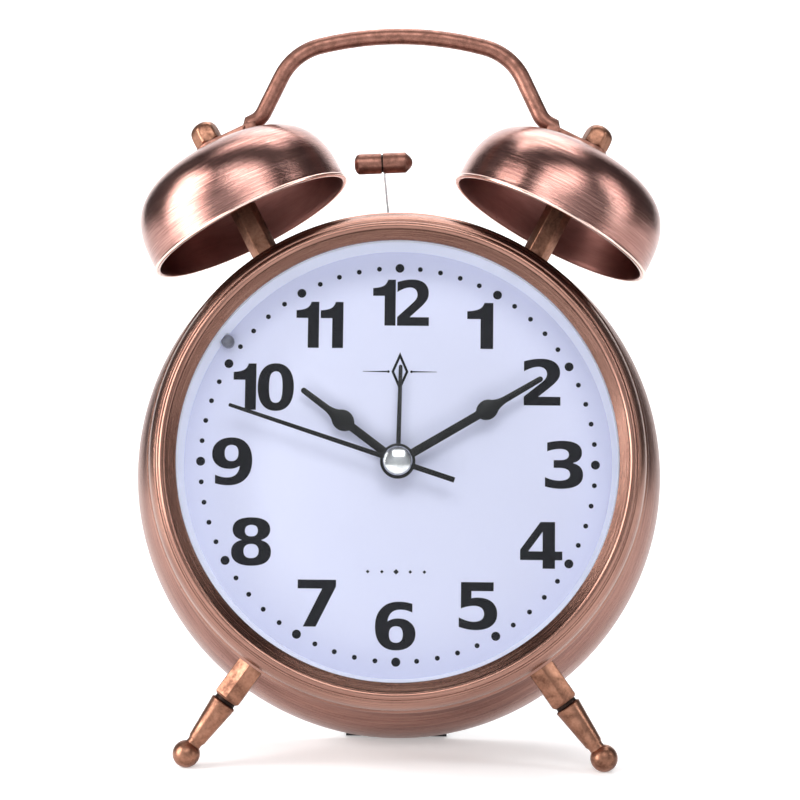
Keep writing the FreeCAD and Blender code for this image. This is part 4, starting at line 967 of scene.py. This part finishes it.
hand_piece("hand_hour", spade(27.0, 15.6, 2.35, 3.6, 1.9, 1.5, 1.3), -3.1, -2.7, ANG_HOUR, 1.73, "hour", "hour_hand")
hand_piece("hand_minute", spade(37.2, 23.2, 2.25, 3.3, 1.9, 1.5, 1.25), -4.5, -4.1, ANG_MIN, 1.06, "minute", "minute_hand")
hand_piece("hand_alarm", [(0.0, -3.3), ("A", (3.12, -1.07), (0.5, 3.262)), ("L", (0.42, 21.6)), ("A", (0, 22.0), (-0.42, 21.6)),
                          ("L", (-0.5, 3.262)), ("A", (-3.12, -1.07), (0.0, -3.3))], -1.7, -1.3, ANG_ALARM, 2.51, "alarm", "alarm_hand")
hand_piece("hand_second", [(-0.6, -13.2), ("L", (0.6, -13.2)), ("L", (0.6, -3.853)), ("A", (3.9, 0.0), (0.55, 3.861)), ("L", (0.40, 39.3)),
                           ("A", (0, 39.5), (-0.40, 39.3)), ("L", (-0.55, 3.861)), ("A", (-3.9, 0.0), (-0.6, -3.853))],
           -6.0, -5.6, ANG_SEC, 0.51, "second", "second_hand")
cap = [(0, -8.1)] + arc3((0.0, -8.1), (1.6, -7.89), (3.0, -7.4), 18) + [(3.13, -7.3), (3.22, -7.14), (3.25, -6.95), (3.25, -6.1), (3.18, -6.02), (0.51, -6.02), (0.51, -6.62), (0, -6.62)]
lathe("hub_cap_domed", cap, 96, M["chrome"], "second", ("hub_cap",), closed=False, sharp=45)

# ------------------------------------------------------------------ dial print
DIGITS = {
    '0': ['M460 365Q460 502 434 558Q409 614 348 614Q288 614 262 558Q236 502 236 365Q236 227 262 170Q288 114 348 114Q408 114 434 170Q460 227 460 365', 'M648 364Q648 183 570 84Q492 -14 348 -14Q204 -14 126 84Q48 183 48 364Q48 545 126 644Q204 742 348 742Q492 742 570 644Q648 545 648 364'],
    '1': ['M286 0L470 0L470 736L340 736Q322 664 262 634Q200 604 92 600L92 476L286 476L286 0'],
    '2': ['M288 138L609 138L609 0L79 0L79 138L345 373Q381 405 398 436Q415 467 415 500Q415 551 381 582Q346 614 289 614Q245 614 193 595Q141 576 81 539L81 699Q145 720 207 731Q269 742 328 742Q459 742 532 685Q604 627 604 524Q604 464 573 413Q542 361 444 275L288 138'],
    '3': ['M466 393Q540 374 578 327Q616 280 616 207Q616 99 533 42Q450 -14 291 -14Q235 -14 178 -5Q122 4 67 22L67 167Q120 141 172 127Q224 114 274 114Q349 114 388 140Q428 165 428 214Q428 264 388 289Q347 315 267 315L192 315L192 436L271 436Q342 436 376 458Q411 480 411 526Q411 568 377 591Q344 614 282 614Q237 614 190 603Q144 593 98 573L98 711Q154 727 208 734Q263 742 316 742Q458 742 528 695Q599 649 599 555Q599 491 565 450Q532 410 466 393'],
    '4': ['M368 574L162 269L368 269L368 574', 'M337 729L546 729L546 269L650 269L650 133L546 133L546 0L368 0L368 133L45 133L45 294L337 729'],
    '5': ['M106 729L573 729L573 591L256 591L256 478Q277 484 299 487Q321 490 344 490Q478 490 552 424Q626 357 626 238Q626 120 545 53Q464 -14 321 -14Q259 -14 198 -2Q137 10 77 34L77 182Q137 148 190 131Q244 114 291 114Q359 114 399 147Q438 181 438 238Q438 295 399 329Q359 362 291 362Q250 362 205 351Q159 341 106 319L106 729'],
    '6': ['M362 360Q312 360 288 328Q263 296 263 232Q263 168 288 136Q312 104 362 104Q412 104 436 136Q461 168 461 232Q461 296 436 328Q412 360 362 360', 'M594 710L594 575Q548 597 507 608Q466 618 427 618Q343 618 296 571Q249 525 241 433Q273 457 311 469Q349 481 393 481Q505 481 573 415Q642 350 642 244Q642 127 565 56Q489 -14 360 -14Q218 -14 140 82Q62 178 62 354Q62 535 153 638Q244 741 403 741Q453 741 500 733Q548 726 594 710'],
    '7': ['M67 729L616 729L616 623L332 0L149 0L418 591L67 591L67 729'],
    '8': ['M348 326Q295 326 267 297Q239 269 239 215Q239 161 267 132Q295 104 348 104Q400 104 428 132Q456 161 456 215Q456 269 428 298Q400 326 348 326', 'M211 388Q145 408 111 450Q77 491 77 553Q77 645 146 694Q215 742 348 742Q480 742 549 694Q618 646 618 553Q618 491 584 450Q550 408 484 388Q558 368 596 322Q634 275 634 205Q634 97 562 41Q490 -14 348 -14Q206 -14 134 41Q61 97 61 205Q61 275 99 322Q137 368 211 388', 'M255 534Q255 491 279 467Q303 444 348 444Q392 444 416 467Q440 491 440 534Q440 578 416 601Q392 624 348 624Q303 624 279 601Q255 577 255 534'],
    '9': ['M100 16L100 151Q145 130 186 119Q227 109 267 109Q351 109 398 155Q445 202 453 294Q420 270 382 257Q345 245 301 245Q189 245 120 310Q52 375 52 482Q52 600 128 670Q205 741 333 741Q476 741 554 645Q632 549 632 373Q632 192 540 89Q449 -14 290 -14Q239 -14 192 -7Q145 1 100 16', 'M332 367Q381 367 406 399Q431 431 431 495Q431 559 406 591Q381 623 332 623Q283 623 258 591Q233 559 233 495Q233 431 258 399Q283 367 332 367'],
}


def contour(text, n=6):
    """an outline of straight runs and quadratic curves -> points, in thousandths of the type size."""
    nums, out, cmds = "", [], []
    for ch in text:
        if ch in "MLQ":
            if cmds:
                cmds[-1][1] = [float(v) for v in nums.split()]
            cmds.append([ch, []])
            nums = ""
        else:
            nums += ch
    cmds[-1][1] = [float(v) for v in nums.split()]
    for c, v in cmds:
        if c in "ML":
            out.append((v[0], v[1]))
        else:
            x0, y0 = out[-1]
            for k in range(1, n + 1):
                u = k / n
                out.append(((1 - u) ** 2 * x0 + 2 * u * (1 - u) * v[0] + u * u * v[2],
                            (1 - u) ** 2 * y0 + 2 * u * (1 - u) * v[1] + u * u * v[3]))
    if math.dist(out[0], out[-1]) < 1e-6:
        out.pop()
    res = [out[0]]
    for p in out[1:]:
        if math.dist(p, res[-1]) > 1e-6:
            res.append(p)
    return res


PRINT_Y0, PRINT_Y1 = -0.035, 0.06
NUM_H, WIDE, NARROW = 10.55, 1.09, 0.95


def area(p):
    return sum(p[i - 1][0] * p[i][1] - p[i][0] * p[i - 1][1] for i in range(len(p))) / 2


def number_into(bm, text, cx, cz):
    k = NUM_H / 742.0
    wf = WIDE if len(text) == 1 else NARROW
    spans, pen = [], 0.0
    ext = {d: (min(min(p[0] for p in contour(c)) for c in DIGITS[d]), max(max(p[0] for p in contour(c)) for c in DIGITS[d])) for d in set(text)}
    gap = 26.0
    for d in text:
        spans.append(pen - ext[d][0])
        pen += ext[d][1] - ext[d][0] + gap
    width = pen - gap
    for d, off in zip(text, spans):
        cs = [[((x + off - width / 2) * k * wf + cx, (z - 364) * k + cz) for x, z in contour(c)] for c in DIGITS[d]]
        cs.sort(key=lambda p: -abs(area(p)))
        plate_into(bm, cs[0], PRINT_Y0, PRINT_Y1, holes=cs[1:])


NUMERALS = {"12": (0.33, 36.2), "1": (18.2, 31.1), "2": (32.15, 18.45), "3": (37.1, 0.0), "4": (32.05, -18.0), "5": (18.1, -31.5),
            "6": (-0.2, -36.15), "7": (-17.7, -31.3), "8": (-32.45, -17.8), "9": (-37.05, 0.05), "10": (-30.3, 16.85), "11": (-17.9, 31.0)}
bm = bmesh.new()
for t, (x, z) in NUMERALS.items():
    number_into(bm, t, x, z)
finish_bm(bm, "print_numerals", M["ink"], "clock", (), CLOCK, 30)


def disc_into(bm, x, z, r, n=20):
    plate_into(bm, [(x + r * math.cos(2 * math.pi * k / n), z + r * math.sin(2 * math.pi * k / n)) for k in range(n)], PRINT_Y0, PRINT_Y1)


bm = bmesh.new()
for k in range(60):
    x, z = polar(44.1, 6.0 * k)
    disc_into(bm, x, z, 1.0 if k % 5 == 0 else 0.55, 28 if k % 5 == 0 else 18)
finish_bm(bm, "print_minute_dots", M["ink"], "clock", (), CLOCK, 30)

# a plain ornament under the twelve and a short rule above the six
bm = bmesh.new()
ocx, ocz = 0.25, 20.6
plate_into(bm, [(ocx, ocz + 4.4), (ocx + 1.9, ocz), (ocx, ocz - 4.4), (ocx - 1.9, ocz)], PRINT_Y0, PRINT_Y1,
           holes=[[(ocx, ocz + 3.0), (ocx + 1.3, ocz), (ocx, ocz - 3.0), (ocx - 1.3, ocz)]])
for sx in (1, -1):
    plate_into(bm, [(ocx + sx * 2.9, ocz + 0.16), (ocx + sx * 8.3, ocz + 0.05), (ocx + sx * 8.3, ocz - 0.05), (ocx + sx * 2.9, ocz - 0.16)], PRINT_Y0, PRINT_Y1)
    disc_into(bm, ocx + sx * 2.6, ocz, 0.3, 14)
for dx in (-6.3, -3.15, 0.0, 3.15, 6.3):
    q = 0.62 if dx == 0 else 0.42
    x, z = -0.15 + dx, -24.2
    plate_into(bm, [(x, z + q), (x + q, z), (x, z - q), (x - q, z)], PRINT_Y0, PRINT_Y1)
finish_bm(bm, "print_ornament", M["ink"], "clock", (), CLOCK, 30)

# ------------------------------------------------------------------ cells and springs
AA_R, AA_Y, AA_Z = 7.05, 27.85, (-22.0, -37.4)
cell_prof = fillet([(0, 0.0), (5.2, 0.0), (5.5, -0.0), (AA_R - 0.25, 0.25), (AA_R, 0.6), (AA_R, 14), (AA_R, 34), (AA_R, 48.4), (AA_R - 0.4, 48.9), (6.1, 49.2), (2.75, 49.25),
                    (2.7, 50.1), (2.4, 50.3), (0, 50.3)], 0.15, 3, closed=False)
for z, flip in ((AA_Z[0], False), (AA_Z[1], True)):
    c = bmesh.new()
    lathe_into(c, cell_prof, 72, False)
    lay = c.verts.layers.float_vector.new("loc")
    m = Matrix.Translation((22.2 if flip else -22.2, AA_Y, z)) @ Matrix.Rotation(math.radians(-90 if flip else 90), 4, 'Y')
    o = finish_bm(c, "cell_" + ("lower" if flip else "upper"), M["cell"], "clock", ("batteries",), CLOCK @ m, 30)

bm = bmesh.new()
for z, sg in ((AA_Z[0], 1), (AA_Z[1], -1)):
    turns, wire, n = 4.5, 0.38, 200
    pts = []
    for k in range(n + 1):
        u = k / n
        a = 2 * math.pi * turns * u
        r = 2.9 - 0.5 * u
        pts.append(Vector((sg * (-28.1 + 0.4 + 4.8 * u), AA_Y + r * math.cos(a), z + r * math.sin(a))))
    rings = []
    for k, p in enumerate(pts):
        tg = (pts[min(k + 1, n)] - pts[max(k - 1, 0)]).normalized()
        rad_ = Vector((0, p.y - AA_Y, p.z - z)).normalized()
        bn = tg.cross(rad_).normalized()
        rd = bn.cross(tg)
        rings.append([bm.verts.new(p + (rd * math.cos(q) + bn * math.sin(q)) * wire) for q in [2 * math.pi * j / 10 for j in range(10)]])
    for A, B in zip(rings, rings[1:]):
        for j in range(10):
            bm.faces.new((A[j], A[(j + 1) % 10], B[(j + 1) % 10], B[j]))
    bm.faces.new(rings[0][::-1])
    bm.faces.new(rings[-1])
finish_bm(bm, "cell_springs_coiled", M["chrome"], "clock", ("battery_springs",), CLOCK, 60)

# ------------------------------------------------------------------ carried-over nodes
for names, mat in (
        ("reflector_ring", "ring"), ("night_light_led", "led"), ("dial_frame movement_cover", "white"),
        ("back_cover battery_door movement_housing bell_washers", "black"),
        ("time_knob alarm_knob alarm_switch light_button hammer_arm", "gloss"),
        ("alarm_motor bracket_screws cover_screws crank_axle hammer_bracket hammer_pivot_pin leg_nuts post_nuts second_arbor stator quartz_crystal", "steel"),
        ("alarm_set_pinion alarm_wheel cannon_pinion crank_gear hour_wheel intermediate_wheel minute_wheel rotor second_wheel", "acetal"),
        ("battery_contacts", "chrome"), ("circuit_board", "board"), ("drive_coil", "cu_wire"), ("motor_pinion", "brass")):
    for n in names.split():
        give(n, M[mat])

# ------------------------------------------------------------------ camera
cam_d = bpy.data.cameras.new("camera")
cam_d.lens = 92.25
cam_d.sensor_width = 36.0
cam_d.sensor_fit = "HORIZONTAL"
cam_d.clip_start = 0.01
cam_d.clip_end = 50.0
cam = bpy.data.objects.new("camera", cam_d)
bpy.context.scene.collection.objects.link(cam)
Rw = Matrix(((1, 0, 0), (0, CT, ST), (0, -ST, CT)))
right, up, fwd = Vector((0.99994, 0.00617, 0.01044)), Vector((-0.00969, -0.11130, 0.99375)), Vector((-0.00729, 0.99377, 0.11124))
right, fwd = (Rw @ right).normalized(), (Rw @ fwd).normalized()
up = right.cross(fwd).normalized()
fwd = up.cross(right).normalized()
pos = CLOCK @ Vector((3.68, -456.61, -36.91))
cam.matrix_world = Matrix(((right.x, up.x, -fwd.x, pos.x), (right.y, up.y, -fwd.y, pos.y), (right.z, up.z, -fwd.z, pos.z), (0, 0, 0, 1)))
bpy.context.scene.camera = cam

# ------------------------------------------------------------------ floor and light
bm = bmesh.new()
prof = [(-3.0, 0.0), (0.35, 0.0)]
for k in range(1, 25):
    a = math.radians(90 * k / 24)
    prof.append((0.35 + 0.6 * math.sin(a), 0.6 - 0.6 * math.cos(a)))
prof.append((0.95, 2.2))
cols = [[bm.verts.new((x, y, z)) for y, z in prof] for x in (-0.62, 0.62)]
for i in range(len(prof) - 1):
    bm.faces.new((cols[0][i], cols[1][i], cols[1][i + 1], cols[0][i + 1]))
for sx in (-1, 1):
    c = cols[0] if sx < 0 else cols[1]
    far = [bm.verts.new((sx * 3.0, -3.0, 0.0)), bm.verts.new((sx * 3.0, 0.35, 0.0)), bm.verts.new((sx * 3.0, 3.0, 0.0)), bm.verts.new((sx * 0.62, 3.0, 0.0))]
    bm.faces.new((c[0], c[1], far[1], far[0]))
    bm.faces.new((c[1], far[3], far[2], far[1]))
bmesh.ops.recalc_face_normals(bm, faces=bm.faces)
me = bpy.data.meshes.new("floor_sweep")
bm.to_mesh(me)
bm.free()
me.shade_smooth()
floor = bpy.data.objects.new("floor_sweep", me)
bpy.context.scene.collection.objects.link(floor)
k = Mat("studio_paper_white", **{"Specular_IOR_Level": 0.2, "Emission_Color": (1.0, 1.0, 1.0, 1.0), "Emission_Strength": 0.36})
pn = k.noise(k.obj(), 9.0, 3.0, 0.5)
me.materials.append(k.set(Base_Color=k.mix(k.remap(pn, 0.0, 1.0), (0.84, 0.84, 0.845), (0.86, 0.86, 0.865)), Roughness=k.remap(pn, 0.7, 0.85)))


def light(name, loc, aim, size, power, colour=(1, 1, 1), size_y=None):
    d = bpy.data.lights.new(name, "AREA")
    d.energy = power
    d.color = colour
    d.shape = "RECTANGLE" if size_y else "SQUARE"
    d.size = size
    if size_y:
        d.size_y = size_y
    o = bpy.data.objects.new(name, d)
    bpy.context.scene.collection.objects.link(o)
    o.location = loc
    o.rotation_euler = (Vector(aim) - Vector(loc)).to_track_quat("-Z", "Y").to_euler()
    return o


AIM = (0, 0, 0.09)


def around(az, el, dist):
    """a place az degrees to the right of the camera's side, el degrees up."""
    a, e = math.radians(az), math.radians(el)
    return (dist * math.sin(a) * math.cos(e), -dist * math.cos(a) * math.cos(e), 0.09 + dist * math.sin(e))


light("key_left", around(-66, 14, 0.85), AIM, 0.5, 11.5, (1.0, 0.99, 0.98), 0.85)
light("front_top", around(4, 40, 1.1), AIM, 0.8, 4.6, (1, 1, 1), 0.4)
light("strip_right", around(70, 20, 0.8), AIM, 0.16, 1.6, (0.98, 0.99, 1.0), 0.6)
light("top_back", around(172, 58, 1.0), AIM, 0.6, 2.6, (1, 1, 1), 0.4)
light("backdrop_wash", (0.0, 0.25, 1.5), (0, 0.9, 0.2), 1.2, 9.0, (1, 1, 1), 0.5)

w = bpy.data.worlds.new("studio")
w.use_nodes = True
wt = w.node_tree
bg = wt.nodes["Background"]
bg.inputs[1].default_value = 1.0
tc = wt.nodes.new("ShaderNodeTexCoord")
sp = wt.nodes.new("ShaderNodeSeparateXYZ")
mr = wt.nodes.new("ShaderNodeMapRange")
mr.inputs["From Min"].default_value = -0.95
mr.inputs["From Max"].default_value = -0.52
mr.inputs["To Min"].default_value = 1.0
mr.inputs["To Max"].default_value = 0.0
mr.interpolation_type = "SMOOTHSTEP"
cm = wt.nodes.new("ShaderNodeMix")
cm.data_type = "RGBA"
cm.inputs[6].default_value = (0.11, 0.105, 0.11, 1)
cm.inputs[7].default_value = (0.68, 0.69, 0.72, 1)
lp = wt.nodes.new("ShaderNodeLightPath")
cam_mix = wt.nodes.new("ShaderNodeMix")
cam_mix.data_type = "RGBA"
cam_mix.inputs[7].default_value = (0.93, 0.93, 0.935, 1)
wt.links.new(tc.outputs["Generated"], sp.inputs[0])
wt.links.new(sp.outputs[1], mr.inputs[0])
wt.links.new(mr.outputs[0], cm.inputs[0])
wt.links.new(cm.outputs[2], cam_mix.inputs[6])
wt.links.new(lp.outputs["Is Camera Ray"], cam_mix.inputs[0])
wt.links.new(cam_mix.outputs[2], bg.inputs[0])
bpy.context.scene.world = w
bpy.context.scene.view_settings.view_transform = "Standard"
